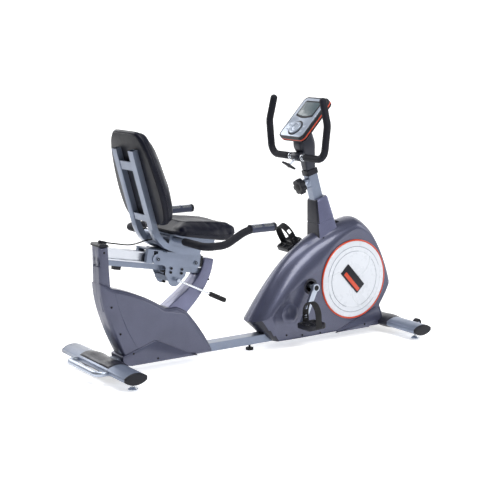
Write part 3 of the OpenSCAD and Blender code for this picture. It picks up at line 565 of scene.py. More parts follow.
def paint(name, base, metallic=0.35, rough=0.32, flake=0.5, coat=0.5, peel=0.12):
    """Metallic paint: flakes of two shades, orange peel, faint scuffs and a clear coat."""
    s = Shader(name)
    sparkle = s.ramp(s.cells(2600), 0.15, 0.5, 1.0, 0.0)
    lighter = tuple(min(1.0, c * 1.35 + 0.01) for c in base[:3]) + (1.0,)
    colour = s.mixed(sparkle * flake, grime(s, base), lighter)
    scuff = s.ramp(s.noise(34, 6, 0.7), 0.55, 0.75, 0.0, 1.0)
    roughness = rough + scuff * 0.09
    relief = s.noise(900, 2, 0.5)
    return s.principled(Base_Color=colour, Metallic=metallic, Roughness=roughness, Coat_Weight=coat,
                        Coat_Roughness=0.12, Normal=s.bump(relief, peel, 0.0004))


def plastic(name, base, rough=0.42, grain=420, depth=0.25, coat=0.0, soil=0.75, shine=0.32):
    """Moulded plastic with a fine spark-eroded grain."""
    s = Shader(name)
    leather = s.cells(grain, "DISTANCE_TO_EDGE")
    fine = s.noise(grain * 2.2, 3, 0.6)
    relief = leather * 0.6 + fine * 0.4
    wear = s.ramp(s.noise(18, 5, 0.65), 0.4, 0.75, -0.05, 0.1)
    return s.principled(Base_Color=grime(s, base, soil), Roughness=wear + rough, Coat_Weight=coat,
                        Specular_IOR_Level=shine, Normal=s.bump(relief, depth, 0.0003))


def metal(name, base, rough=0.18, brush=(1, 1, 1), depth=0.1, metallic=1.0):
    """Bare or plated metal; brush stretches the polishing marks."""
    s = Shader(name)
    marks = s.noise(60, 6, 0.75, s.stretched(brush))
    cloud = s.noise(7, 4, 0.6)
    roughness = rough + s.ramp(marks, 0.3, 0.8, 0.0, 0.12) + s.ramp(cloud, 0.4, 0.8, 0.0, 0.06)
    return s.principled(Base_Color=grime(s, base, 0.9), Metallic=metallic, Roughness=roughness,
                        Normal=s.bump(marks, depth, 0.0003))


def vinyl_material(name, base):
    """Upholstery vinyl: pebbled grain with fine folds and a soft shine."""
    s = Shader(name)
    pebbles = s.cells(620, "DISTANCE_TO_EDGE")
    folds = s.noise(13, 3, 0.5, s.stretched((1, 0.35, 1)))
    relief = s.ramp(pebbles, 0.0, 0.25, 0.0, 1.0) * 0.2 + folds * 0.8
    sheen = s.ramp(s.noise(11, 3, 0.5), 0.3, 0.7, 0.0, 0.1)
    return s.principled(Base_Color=grime(s, base, 0.7), Roughness=sheen + 0.36, Specular_IOR_Level=0.22,
                        Normal=s.bump(relief, 0.16, 0.0010))


def foam_material(name, base):
    """Closed-cell foam rubber with fine pores."""
    s = Shader(name)
    pores = s.cells(900, "DISTANCE_TO_EDGE")
    fine = s.noise(1500, 3, 0.7)
    return s.principled(Base_Color=grime(s, base, 0.8, 30), Roughness=0.66, Specular_IOR_Level=0.3,
                        Normal=s.bump(pores * 0.7 + fine * 0.3, 0.55, 0.0005))


def screen_material(name):
    """Liquid-crystal display: faint segment grid under glass."""
    s = Shader(name)
    x, y, z = s.axes(1.0)
    along = (x * 0.7 + z * 0.7) * 360
    grid = s.ramp((along.fraction() - 0.5).absolute(), 0.44, 0.48, 0.0, 1.0)
    rows = s.ramp(((y * 250).fraction() - 0.5).absolute(), 0.44, 0.48, 0.0, 1.0)
    colour = s.mixed(grid.math("MAXIMUM", rows) * 0.25, rgb(74, 88, 94), rgb(54, 66, 74))
    return s.principled(Base_Color=colour, Roughness=0.25, Coat_Weight=0.35, Coat_Roughness=0.05)


def make_materials():
    """Every finish of the bike by the name of its material slot."""
    return {
        "frame_paint": paint("frame_paint", rgb(126, 136, 156), 0.5, 0.34, 0.3, 0.3),
        "shell_paint": paint("shell_paint", rgb(76, 79, 101), 0.5, 0.35, 0.5, 0.45),
        "shroud_paint": paint("shroud_paint", rgb(102, 105, 134), 0.45, 0.34, 0.45, 0.35),
        # shell_dark is the dark paint of the joint sleeves and crank collars, and is also painted shade on
        # the front cover's rear undercut and on the shroud's rear and front faces.
        "shell_dark": paint("shell_dark", rgb(26, 28, 42), 0.3, 0.42, 0.35, 0.2),
        "black_plastic": plastic("black_plastic", rgb(13, 15, 27), 0.42),
        "rail_aluminium": metal("rail_aluminium", rgb(214, 218, 226), 0.26, (1, 30, 30), 0.12),
        "chrome_steel": metal("chrome_steel", rgb(222, 226, 232), 0.09, (8, 1, 8), 0.03),
        "zinc_steel": metal("zinc_steel", rgb(182, 190, 204), 0.32, (5, 5, 5), 0.1),
        "cast_iron": metal("cast_iron", rgb(112, 116, 124), 0.42, (14, 14, 14), 0.3),
        "rubber": plastic("rubber", rgb(22, 22, 25), 0.68, 300, 0.3),
        "vinyl": vinyl_material("vinyl", rgb(9, 12, 30)),
        "foam": foam_material("foam", rgb(8, 10, 24)),
        "disc_white": plastic("disc_white", rgb(206, 210, 217), 0.3, 500, 0.06, 0.3, 0.96, 0.5),
        "disc_line": plastic("disc_line", rgb(150, 156, 168), 0.4, 500, 0.1),
        "ring_orange": plastic("ring_orange", rgb(200, 62, 24), 0.34, 500, 0.08, 0.3, 0.9, 0.4),
        "nylon": plastic("nylon", rgb(226, 227, 230), 0.45, 400, 0.1),
        "console_silver": paint("console_silver", rgb(160, 170, 186), 0.4, 0.3, 0.35, 0.3),
        "screen": screen_material("screen"),
        "post_blue": paint("post_blue", rgb(22, 26, 42), 0.3, 0.4, 0.3, 0.2),
        "cable_black": plastic("cable_black", rgb(18, 18, 21), 0.5, 700, 0.2),
        "grip_blue": plastic("grip_blue", rgb(52, 58, 80), 0.46, 500, 0.2),
        "grip_steel": metal("grip_steel", rgb(196, 200, 208), 0.16, (1, 9, 1), 0.05),
        # recess_dark is the dark of screws, bolts, caps and cutters, and also the painted shade of the
        # console's vent slots.
        "recess_dark": plastic("recess_dark", rgb(12, 12, 16), 0.6, 300, 0.2),
    }


# ------------------------------------------------------------------ the places

XR = box_centre("foot_rear_right").x
XF = box_centre("foot_front_right").x
RAIL_TILT = math.radians(10.5)
RAIL_ORIGIN = Vector((XR + 0.246, 0, 0.505))
RAIL_S = Vector((math.cos(RAIL_TILT), 0, -math.sin(RAIL_TILT)))
RAIL_T = Vector((math.sin(RAIL_TILT), 0, math.cos(RAIL_TILT)))
MAST_LEAN = math.radians(17)
MAST_ORIGIN = Vector((XF - 0.426, 0, 0.798))
MAST_U = Vector((-math.sin(MAST_LEAN), 0, math.cos(MAST_LEAN)))
MAST_F = Vector((math.cos(MAST_LEAN), 0, math.sin(MAST_LEAN)))
CRANK = Vector((XF - 0.474, 0, 0.2745))
CRANK_LEN = 0.170
CRANK_ANGLE = math.radians(245.7)
DISC = (XF - 0.221, 0.2805)
CONSOLE = Vector((XF - 0.465, 0, 1.048))
CONSOLE_TILT = math.radians(47)

MATERIALS = {}


def finish_of(name):
    """The shared material of a slot name."""
    return MATERIALS[name]


def rear(points):
    """Millimetre XZ points from the rear stabilizer axis, in the row frame."""
    return [(XR + x * MM, z * MM) for x, z in points]


def front(points):
    """Millimetre XZ points from the front stabilizer axis, in the row frame."""
    return [(XF + x * MM, z * MM) for x, z in points]


def levels_of(count, *steps):
    """Levels for shell_side from (half width, inset) pairs in millimetres."""
    return [(y * MM, [inset * MM] * count) for y, inset in steps]


def seam_levels(count, half, radius, steps=5, seam=0.7):
    """Levels with a joint line down the middle and round side edges."""
    rows = [(0, seam), (0.5, seam), (0.8, 0)]
    for i in range(steps + 1):
        a = math.pi / 2 * i / steps
        rows.append((half - radius * (1 - math.sin(a)), radius * (1 - math.cos(a))))
    return levels_of(count, *rows)


# ------------------------------------------------------------------ rear cover


def build_rear_cover(wall):
    """Lower body, mast and arm of the rear cover, cut open for the seat rail."""
    paint_ = finish_of("shell_paint")
    hull_top = cubic((285, 262), (210, 315), (120, 355), (30, 378), 10)
    rear_edge = cubic((-26, 402), (-25, 300), (22, 180), (100, 33), 16)
    front_edge = cubic((524, 33), (505, 90), (440, 180), (392, 234), 10)
    body = rear(rear_edge + front_edge + [(372, 246), (340, 262)] + hull_top + [(2, 398)])
    shell = shell_side("rear_body", body, seam_levels(len(body), wall["body"], 15), paint_)

    panel = rear(cubic((36, 362), (60, 250), (110, 140), (182, 46), 14)
                 + cubic((500, 46), (484, 90), (424, 172), (376, 226), 8)
                 + cubic((276, 250), (206, 300), (120, 340), (36, 362), 8)[:-1])
    raised = shell_side("rear_panel", panel, levels_of(len(panel), (40, 0), (48.2, 0), (49.6, 2.4)), paint_)

    plinth = rear([(70, 44), (66, 80), (230, 131), (391, 52), (440, 34), (110, 34)])
    skirt = shell_side("rear_skirt", rounded_outline(plinth, 6), skirt_levels(plinth, 6), paint_)

    mast_outline = rear([(-26, 557), (-25.6, 470), (-25, 400), (-22, 340), (-10, 280), (40, 280),
                         (30, 340), (23, 400), (19, 470), (15, 557)])
    rear_inset = [15, 15, 15, 15, 15, 2.5, 2.5, 2.5, 2.5, 2.5]
    mast_levels = [(0.0, [0.7 * MM] * 10), (0.0006, [0.7 * MM] * 10), (0.001, [0.0] * 10)]
    for share in (0, 0.25, 0.5, 0.75, 1):
        y = wall["mast"] - (1 - share) * 11
        mast_levels.append((y * MM, [i * share**1.6 * MM for i in rear_inset]))
    mast = shell_side("rear_mast", mast_outline, mast_levels, paint_)

    arm_out = cubic((380, 214), (455, 280), (522, 350), (534, 450), 14)
    arm_in = cubic((484, 461), (478, 370), (390, 325), (270, 240), 14)
    arm = rear(arm_out + arm_in)
    arms = shell_side("rear_arm", arm, seam_levels(len(arm), wall["mast"], 5), finish_of("shroud_paint"))

    parts = [shell, raised, skirt, mast, arms]
    rail = frame_matrix(on_rail(8, 0, -36), RAIL_S, RAIL_T)
    for part in (mast, arms):
        opening = block("opening", mm(-271, -31, -37.5), mm(271, 31, 37.5), finish_of("recess_dark"))
        top = block("opening_top", mm(-231, -60, 26), mm(209, 60, 116), finish_of("recess_dark"))
        cut(part, [placed(opening, rail), placed(top, rail)])
    return joined("rear_cover_shell", parts)


def rounded_outline(outline, radius_mm):
    """The outline with each corner softened by a small arc."""
    points = [Vector(p) for p in outline]
    out = []
    for i, b in enumerate(points):
        a, c = points[i - 1], points[(i + 1) % len(points)]
        reach = min(radius_mm * MM, (a - b).length * 0.4, (c - b).length * 0.4)
        p, q = b + (a - b).normalized() * reach, b + (c - b).normalized() * reach
        out += [tuple(p * (1 - t) ** 2 + b * 2 * t * (1 - t) + q * t * t) for t in (0, 0.25, 0.5, 0.75, 1)]
    return out


def skirt_levels(outline, radius_mm, low=42, high=54):
    """Levels of a raised facet with a chamfered rim."""
    count = len(rounded_outline(outline, radius_mm))
    return levels_of(count, (low, 0), (high - 3.5, 0), (high - 1.2, 1.0), (high, 3.5))


# ----------------------------------------------------------------- front cover


def front_outline():
    """Side view of the front cover and how far its round shoulder reaches in."""
    back = cubic((-780, 135), (-660, 320), (-520, 520), (-195, 570), 30)
    nose = cubic((-195, 570), (-130, 575), (-15, 420), (28, 245), 18)[1:]
    tail = [(24, 230), (4, 196), (-20, 163), (-45, 130), (-37, 104), (-30, 78), (-27, 33)]
    foot = [(-180, 33), (-340, 33), (-500, 33), (-600, 33), (-661, 33)]
    facet = [(-692, 59), (-722, 85), (-752, 111)]
    points = back + nose + tail + foot + facet
    reach = []
    for i in range(len(back)):
        share = i / (len(back) - 1)
        reach.append(lerp(92, 122, smooth_step(share * 2.2)) if share < 0.6 else
                     lerp(122, 56, smooth_step((share - 0.6) / 0.4)))
    for i in range(len(nose)):
        reach.append(lerp(56, 36, smooth_step((i + 1) / 8)))
    reach += [30, 24, 20, 16, 14, 12, 8]
    reach += [8, 8, 8, 10, 14]
    reach += [26, 48, 72]
    return points, reach


def front_levels(reach, half, inset, steps=11):
    """Levels of the round shoulder, a soft crease and the flat side."""
    rows = [(0, 0.7), (0.5, 0.7), (0.9, 0)] if inset == 0 else [(0, 0)]
    levels = [(y * MM, [(seam + inset) * MM] * len(reach)) for y, seam in rows]
    for i in range(1, steps + 1):
        a = math.pi / 2 * i / steps
        y = (half + 1.4 - inset) * math.sin(a)
        levels.append((y * MM, [(r * (1 - math.cos(a)) + inset) * MM for r in reach]))
    levels.append(((half + 0.6 - inset) * MM, [(r + 4 + inset) * MM for r in reach]))
    levels.append(((half - inset) * MM, [(r + 7 + inset) * MM for r in reach]))
    return levels


def build_front_cover(half):
    """The two halves of the front cover as one hollow moulding with its openings."""
    paint_ = finish_of("shell_paint")
    points, reach = front_outline()
    outline = front(points)
    centre = front([(-300, 235)])[0]
    outer = shell_side("front_shell", outline, front_levels(reach, half, 0), paint_, centre, 24)
    inside = front_levels(reach, half, 3.5)
    inner = shell_side("front_inner", outline, inside, finish_of("recess_dark"), centre)
    beam = block("beam", (XR, -0.031, 0.011), (XF, 0.031, 0.070))
    axle = rod_y("axle", (CRANK.x, CRANK.z), 0.026, -0.12, 0.12)
    sleeve = placed(oval_bar("sleeve", 0.1216, 0.0606, 0.32), Matrix.Translation((XF, 0, 0.052)))
    post = block("post", (XF - 0.368, -0.026, 0.3), (XF - 0.268, 0.026, 0.62))
    cut(outer, [inner, beam, axle, sleeve, post])
    outer.data.set_sharp_from_angle(angle=math.radians(24))
    # Painted shade: the low rear faces that slope down and back take the dark shell paint, standing in for
    # the shadow under the cover's rear end.
    outer.data.materials.append(finish_of("shell_dark"))
    for face in outer.data.polygons:
        if face.normal.z < -0.35 and face.normal.x < -0.2 and face.center.x < XF - 0.6:
            face.material_index = len(outer.data.materials) - 1

    parts = [outer]
    skirt = [(-330, 34), (-224, 76), (-84, 128), (-64, 118), (-48, 78), (-48, 60), (-110, 56), (-118, 34)]
    for side in (-1, 1):
        facet = rounded_outline(front(skirt), 7)
        levels = [(79, 0), (82, 0), (83.4, 1.0), (84, 3)]
        parts.append(one_sided("front_skirt", facet, levels, side, paint_))
        parts.append(boss(side))
        parts.append(collar(side))
    return joined("front_cover_shell", parts)


def one_sided(name, outline, levels, side, material):
    """A raised facet on one side only; side is -1 for the right and 1 for the left."""
    outline = [Vector(p) for p in outline]
    if sum(a.x * b.y - b.x * a.y for a, b in zip(outline, outline[1:] + outline[:1])) < 0:
        outline.reverse()
    inward = inward_normals(outline)
    verts = []
    for y, inset in levels:
        for p, n in zip(outline, inward):
            q = p + n * inset * MM
            verts.append((q.x, side * y * MM, q.y))
    return new_mesh(name, verts, ring_faces(len(levels), len(outline)), material, 30)


def disc_on_side(name, profile, centre, side, material, steps=72, angle=30):
    """A revolved relief on the side of the cover; profile heights are distances outwards."""
    turned = revolve(name, [(r * MM, h * MM) for r, h in profile], material, steps, angle)
    turn = Matrix.Rotation(-side * math.pi / 2, 4, "X")
    placed(turned, Matrix.Translation((centre[0], 0, centre[1])) @ turn)
    return turned


def boss(side):
    """Rounded bulge of the cover behind the crank."""
    profile = [(54, 70), (52, 76), (46, 79), (39, 81.2), (30, 83), (18, 84), (2, 84.2)]
    return disc_on_side("boss", profile, front([(-590, 160)])[0], side, finish_of("shell_paint"), 48, 50)


def collar(side):
    """Sunk trim ring round the crank axle."""
    profile = [(25, 70), (25, 79.5), (27, 81.5), (33, 82), (37, 80.5), (38, 78.5), (38, 70), (25, 70)]
    return disc_on_side("collar", profile, (CRANK.x, CRANK.z), side, finish_of("shell_dark"), 64, 35)


def oval_section(width, height, count=14):
    """Points of a pointed oval with blunt tips, width first."""
    half = width / 2 + 0.008
    radius = (half * half + height * height / 4) / height
    upper = []
    for i in range(count + 1):
        x = width / 2 * math.cos(math.pi * i / count)
        upper.append((x, max(0.0, math.sqrt(radius**2 - x * x) - radius + height / 2)))
    lower = [(-x, -z) for x, z in upper]
    return upper + lower


def oval_bar(name, width, height, length, material=None, rows=None):
    """An oval bar along Y about the origin; rows are (share of half length, scale) pairs."""
    section = oval_section(width, height)
    rows = rows or [(-1, 1), (1, 1)]
    verts = [(x * k, share * length / 2, z * k) for share, k in rows for x, z in section]
    return new_mesh(name, verts, ring_faces(len(rows), len(section)), material, 35)


def build_discs(half, radius):
    """White side discs with turned rings and three swept ribs, each in its orange ring."""
    white, orange = finish_of("disc_white"), finish_of("ring_orange")
    inner = radius - 7.3
    discs, rings = [], []
    for side in (-1, 1):
        profile = [(inner, half), (inner, half + 3.4), (inner - 2, half + 4.6), (inner - 13, half + 5.6)]
        for groove in (inner - 26, inner - 48):
            profile += [(groove + 2.4, half + 7.6), (groove + 1.2, half + 6.6), (groove, half + 6.6),
                        (groove - 1.2, half + 7.8)]
        profile += [(58, half + 8), (44, half + 7.2), (20, half + 6.8), (2, half + 6.8)]
        discs.append(disc_on_side("disc", profile, DISC, side, white, 128, 18))
        discs += [disc_rib(side, half, k) for k in range(3)]
        discs += [disc_arc(side, half, inner - reach, start, turn)
                  for reach, start, turn in ((26, 20, 150), (26, 200, 120), (48, 80, 170), (48, 290, 110))]
        discs += disc_badge(side, half)
        ring = [(radius, half), (radius, half + 3.6), (radius - 1.6, half + 5.6), (radius - 3.4, half + 6.2),
                (radius - 5.6, half + 5.4), (radius - 7, half + 3.4), (radius - 7, half), (radius, half)]
        rings.append(disc_on_side("ring", ring, DISC, side, orange, 128, 30))
    return joined("disc_faces", discs), joined("disc_trim", rings)


def disc_rib(side, half, index):
    """A low leaf-shaped rib from the middle of the disc towards its edge."""
    turn = math.radians(20 + 120 * index)
    verts = []
    count = 16
    for i in range(count + 1):
        t = i / count
        reach = lerp(30, 136, t)
        width = 11 * math.sin(math.pi * min(1.0, 0.12 + t * 0.88)) ** 0.7 + 0.4
        bend = turn + 0.5 * t * t
        cx, cz = reach * math.cos(bend), reach * math.sin(bend)
        ax, az = -math.sin(bend), math.cos(bend)
        for across, height in ((-1, 6.2), (-0.5, 9.0), (0, 9.8), (0.5, 9.0), (1, 6.2)):
            x, z = cx + ax * across * width, cz + az * across * width
            verts.append((DISC[0] + x * MM, side * (half + height) * MM, DISC[1] + z * MM))
    return new_mesh("rib", verts, ring_faces(count + 1, 5), finish_of("disc_white"), 60)


def disc_arc(side, half, radius, start, turn):
    """A thin grey line round part of the disc."""
    steps = 40
    path = []
    for i in range(steps + 1):
        a = math.radians(start + turn * i / steps)
        x, z = radius * math.cos(a), radius * math.sin(a)
        path.append((DISC[0] + x * MM, side * (half + 7.0) * MM, DISC[1] + z * MM))
    return sweep("arc", path, circle_section(0.0013, 8), finish_of("disc_line"), side=(0, 1, 0), angle=80)


def disc_badge(side, half):
    """A plain slanted badge with a bright lower half and no lettering."""
    turn = Matrix.Rotation(-side * math.pi / 2, 4, "X")
    lean = Matrix.Rotation(math.radians(47) * side, 4, "Z")
    here = Matrix.Translation((DISC[0] - 0.012, 0, DISC[1] + 0.004)) @ turn @ lean
    plate = slab("badge", round_rect(0.144, 0.060, 0.003, 4), (half + 7.5) * MM, (half + 11.0) * MM,
                 finish_of("black_plastic"), 0.0006)
    bar = slab("badge_bar", round_rect(0.120, 0.019, 0.002, 4), (half + 10.8) * MM, (half + 11.5) * MM,
               finish_of("ring_orange"), 0.0004)
    bar.data.transform(Matrix.Translation((0.006, 0.013 * side, 0)))
    return [placed(plate, here), placed(bar, here)]


def build_shroud():
    """Tapered two-part cover at the foot of the console mast."""
    lavender, dark = finish_of("shroud_paint"), finish_of("shell_dark")
    low = (XF - 0.402, XF - 0.274, 0.056, 0.440)
    rows = [(0.0, 0), (0.5, 0), (0.505, -1.3), (0.525, -1.3), (0.53, 0), (0.96, 0), (0.985, -1.5), (1, -4)]
    top_rear, top_front = on_mast(-27, 0, -130), on_mast(41, 0, -130)
    verts = []
    for share, grow in rows:
        x0, x1 = lerp(low[0], top_rear.x, share), lerp(low[1], top_front.x, share)
        z0, z1 = lerp(low[3], top_rear.z, share), lerp(low[3] + 0.03, top_front.z, share)
        half = lerp(low[2], 0.039, share)
        for u, v in round_rect(1.0, 1.0, 0.13, 4):
            x = (x0 + x1) / 2 + u * (x1 - x0 + 2 * grow * MM)
            verts.append((x, v * 2 * (half + grow * MM), lerp(z0, z1, u + 0.5)))
    shroud = new_mesh("mast_foot_shell", verts, ring_faces(len(rows), 20), lavender, 28)
    # Painted shade: faces turned to the rear or to the front take the dark paint, while the sides keep the
    # lavender.
    shroud.data.materials.append(dark)
    for face in shroud.data.polygons:
        if face.normal.x < -0.55 or face.normal.x > 0.8:
            face.material_index = 1
    opening = placed(block("opening", mm(-25.5, -20.5, -200), mm(25.5, 20.5, 20), finish_of("recess_dark")),
                     frame_matrix(MAST_ORIGIN - MAST_U * 0.1, MAST_F, MAST_U))
    hollow = block("hollow", (XF - 0.392, -0.046, 0.40), (XF - 0.284, 0.046, 0.50), dark)
    return cut(shroud, [opening, hollow])


def body_name(node):
    """Name of the CAD body that a node belongs to."""
    parent = frame["nodes"][node].parent
    return next(name for name, empty in frame["bodies"].items() if empty == parent)


def stands_for(piece, *nodes):
    """The piece replaces CAD nodes and moves with their body."""
    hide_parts(*nodes)
    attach(piece, body_name(nodes[0]))
    return piece


def goes_with(piece, node):
    """The piece is an addition that moves with a CAD node's body."""
    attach(piece, body_name(node))
    return piece


# ------------------------------------------------------------------ upholstery


VOXEL = 0.0055


def pillow(name, outline, rows, to_world, material):
    """A closed cushion from a plan outline: each row is (inset, height function)."""
    outline = [Vector(p) for p in outline]
    if sum(a.x * b.y - b.x * a.y for a, b in zip(outline, outline[1:] + outline[:1])) < 0:
        outline.reverse()
    inward = inward_normals(outline)
    middle = sum(outline, Vector((0, 0))) / len(outline)
    verts = []
    for inset, height in rows:
        for p, n in zip(outline, inward):
            q = p + n * inset if inset < 50 else p.lerp(middle, (inset - 50) / 50)
            verts.append(to_world(q.x, q.y, height(q.x, q.y)))
    return new_mesh(name, verts, ring_faces(len(rows), len(outline)), material, 60)


def swelled(obj, pinned, cap):
    """Remeshes the cushion and lets cloth pressure round it, no point moving past the cap."""
    remesh = obj.modifiers.new("remesh", "REMESH")
    remesh.mode = "VOXEL"
    remesh.voxel_size = VOXEL
    remesh.use_smooth_shade = True
    materials = list(obj.data.materials)
    applied(obj)
    obj.data.materials.clear()
    for m in materials:
        obj.data.materials.append(m)
    rest = [v.co.copy() for v in obj.data.vertices]
    group = obj.vertex_groups.new(name="held")
    group.add([v.index for v in obj.data.vertices if pinned(v.co)], 1.0, "REPLACE")
    cloth = obj.modifiers.new("cloth", "CLOTH")
    settings = cloth.settings
    settings.use_pressure = True
    settings.uniform_pressure_force = 4.0
    settings.effector_weights.gravity = 0.0
    settings.vertex_group_mass = "held"
    settings.quality = 5
    cloth.point_cache.frame_start = 1
    cloth.point_cache.frame_end = 20
    for step in range(1, 21):
        bpy.context.scene.frame_set(step)
    applied(obj)
    bpy.context.scene.frame_set(1)
    for v, start in zip(obj.data.vertices, rest):
        move = v.co - start
        if move.length > cap:
            v.co = start + move.normalized() * cap
    obj.vertex_groups.clear()
    relax = obj.modifiers.new("relax", "SMOOTH")
    relax.iterations = 14
    finer = obj.modifiers.new("finer", "SUBSURF")
    finer.levels = finer.render_levels = 1
    applied(obj)
    obj.data.shade_smooth()
    return obj


def nearest_on(obj, points, lift=0.0):
    """The points moved onto the mesh, raised along its normal."""
    tree = BVHTree.FromPolygons([v.co for v in obj.data.vertices], [p.vertices for p in obj.data.polygons])
    out = []
    for p in points:
        co, normal, _, _ = tree.find_nearest(Vector(p))
        out.append(co + normal * lift)
    return out


def piping(name, cushion, guide, radius, material):
    """A sewn welt that lies round the closed guide on the cushion's own surface."""
    path = nearest_on(cushion, spline(guide, 6, closed=True), radius * 0.25)
    n = len(path)
    for _ in range(3):
        path = [(path[i - 1] + path[i] * 2 + path[(i + 1) % n]) / 4 for i in range(n)]
    return sweep(name, path, circle_section(radius, 10), material, angle=80, closed=True)


def seat_outline():
    """Plan of the seat cushion, along the rail and across, in millimetres."""
    side = cubic((4, 0), (4, 90), (4, 130), (6, 140), 4)[1:]
    side += cubic((6, 140), (10, 166), (20, 166), (44, 166), 6)[1:]
    side += cubic((44, 166), (130, 166), (170, 164), (231, 156), 6)[1:]
    side += cubic((231, 156), (300, 146), (324, 118), (324, 70), 8)[1:]
    side += [(324, 35)]
    return [(x, -y) for x, y in reversed(side)] + side


def seat_top(s, y):
    """Height of the seat over its base: higher at the nose, dished in the middle."""
    rise = lerp(44, 70, s / 330)
    bolster = 9 * smooth_step((abs(y) - 70) / 70)
    return rise - 8 + bolster - 4 * math.exp(-((y / 60) ** 2))


def seat_base(s, y):
    """Height of the seat's underside, which turns up at the nose."""
    return 1.0 if s < 240 else lerp(1.0, 25, (s - 240) / 90)


def build_seat_cushion():
    """Seat cushion, its welts and its sewn channels."""
    def place(s, y, t):
        return on_rail(22 + s, y, 90 + t)

    def level(share):
        return lambda s, y: lerp(seat_base(s, y), seat_top(s, y), share)

    profile = [(78, 0), (40, 0), (12, 0), (3, 0.08), (0, 0.28), (0, 0.62), (3, 0.84), (10, 0.97),
               (25, 1), (46, 1), (66, 1), (84, 1)]
    rows = [(inset, level(share)) for inset, share in profile]
    seat = pillow("seat_pad", seat_outline(), rows, place, finish_of("vinyl"))
    base = RAIL_T.dot(on_rail(0, 0, 90))
    swelled(seat, lambda co: RAIL_T.dot(co) - base < 0.012, 0.022)
    outline = seat_outline()
    around = [place(s, y, lerp(seat_base(s, y), seat_top(s, y), 0.42)) for s, y in outline[::2]]
    welt = piping("seat_welt", seat, around, 0.0022, finish_of("vinyl"))
    inner = [(lerp(160, s, 0.8), y * 0.78) for s, y in outline[::2]]
    panel = piping("seat_panel_seam", seat, [place(s, y, 90) for s, y in inner], 0.0013, finish_of("vinyl"))
    return seat, welt, panel


BACK_TURN = 90 - 10.5 - 15.6
BACK_LEAN = math.radians(15.6)


def at_back(n, y, z):
    """A point in millimetres forward of, across and up the seat back tubes."""
    sweep_ = math.radians(BACK_TURN)
    origin = on_rail(70 - 140 * math.sin(sweep_), 0, 28.5 + 140 * (1 - math.cos(sweep_)))
    up = Vector((-math.sin(BACK_LEAN), 0, math.cos(BACK_LEAN)))
    ahead = Vector((math.cos(BACK_LEAN), 0, math.sin(BACK_LEAN)))
    return origin + ahead * (n * MM) + Vector((0, y * MM, 0)) + up * (z * MM)


def back_outline():
    """Plan of the back cushion, across and up, in millimetres."""
    side = cubic((0, 5), (60, 5), (90, 5), (116, 7), 4)[1:]
    side += cubic((116, 7), (182, 12), (187, 92), (188, 160), 9)[1:]
    side += cubic((188, 160), (183, 245), (160, 410), (84, 418), 14)[1:]
    side += [(42, 419)]
    return side + [(0, 419)] + [(-x, z) for x, z in reversed(side)] + [(0, 5)]


def build_back_cushion():
    """Back cushion with its moulded rear panel, edge welt and sewn side lines."""
    def place(y, z, n):
        return at_back(14.5 + n, y, z)

    def front_height(y, z):
        return 43 + 7 * smooth_step((abs(y) - 40) / 90) + 5 * math.exp(-(((z - 110) / 90) ** 2))

    def level(share):
        return lambda y, z: lerp(1.0, front_height(y, z), share)

    profile = [(78, 0), (40, 0), (14, 0), (3, 0.06), (0, 0.2), (0, 0.55), (2, 0.8), (9, 0.96),
               (24, 1), (46, 1), (66, 1), (84, 1)]
    rows = [(inset, level(share)) for inset, share in profile]
    back = pillow("back_pad", back_outline(), rows, place, finish_of("vinyl"))
    ahead = at_back(1, 0, 0) - at_back(0, 0, 0)
    ahead.normalize()
    plane = ahead.dot(at_back(14.5, 0, 0))
    swelled(back, lambda co: ahead.dot(co) - plane < 0.012, 0.022)
    outline = back_outline()
    around = [place(y, z, 19) for y, z in outline[::2]]
    welt = piping("back_welt", back, around, 0.0022, finish_of("vinyl"))
    inner = [(y * 0.74, lerp(205, z, 0.86)) for y, z in outline[::2]]
    panel = piping("back_panel_seam", back, [place(y, z, 90) for y, z in inner], 0.0013, finish_of("vinyl"))
    board = [(y * 0.93, lerp(205, z, 0.95)) for y, z in back_outline()]
    plate = slab("back_board", [mm(*p) for p in board], 0, 0.004, finish_of("black_plastic"), 0.0014)
    ahead_matrix = Matrix((Vector((0, 1, 0)), (at_back(0, 0, 1) - at_back(0, 0, 0)) / MM,
                           (at_back(1, 0, 0) - at_back(0, 0, 0)) / MM)).transposed().to_4x4()
    ahead_matrix.translation = at_back(13.4, 0, 0)
    placed(plate, ahead_matrix)
    return back, welt, panel, plate


# ------------------------------------------------------- side bars and handles


def side_path(first, last):
    """Middle line of a side handlebar on the left, between two distances along it."""
    start = on_rail(49, 0, 72)
    out, bend = 330, 35
    points = [Vector((0, y * MM, 0)) for y in (0, 60, 120, 180, 240, 280, out - bend)]
    for k in range(1, 9):
        a = math.pi / 2 * k / 8
        points.append(Vector((bend * (1 - math.cos(a)), out - bend + bend * math.sin(a), 0)) * MM)
    riser = [(bend, 0), (bend + 62, 0), (bend + 172, 56), (bend + 318, 56)]
    rise = rounded([Vector((x * MM, out * MM, z * MM)) for x, z in riser], 0.045, 8)
    points += rise[1:]
    path = [start + p for p in points]
    out_path = []
    walked = 0.0
    for a, b in zip(path, path[1:]):
        steps = max(1, int((b - a).length / 0.008))
        for k in range(steps):
            here = walked + (b - a).length * k / steps
            if first <= here <= last:
                out_path.append(a.lerp(b, k / steps))
        walked += (b - a).length
    if walked <= last:
        out_path.append(path[-1])
    return out_path


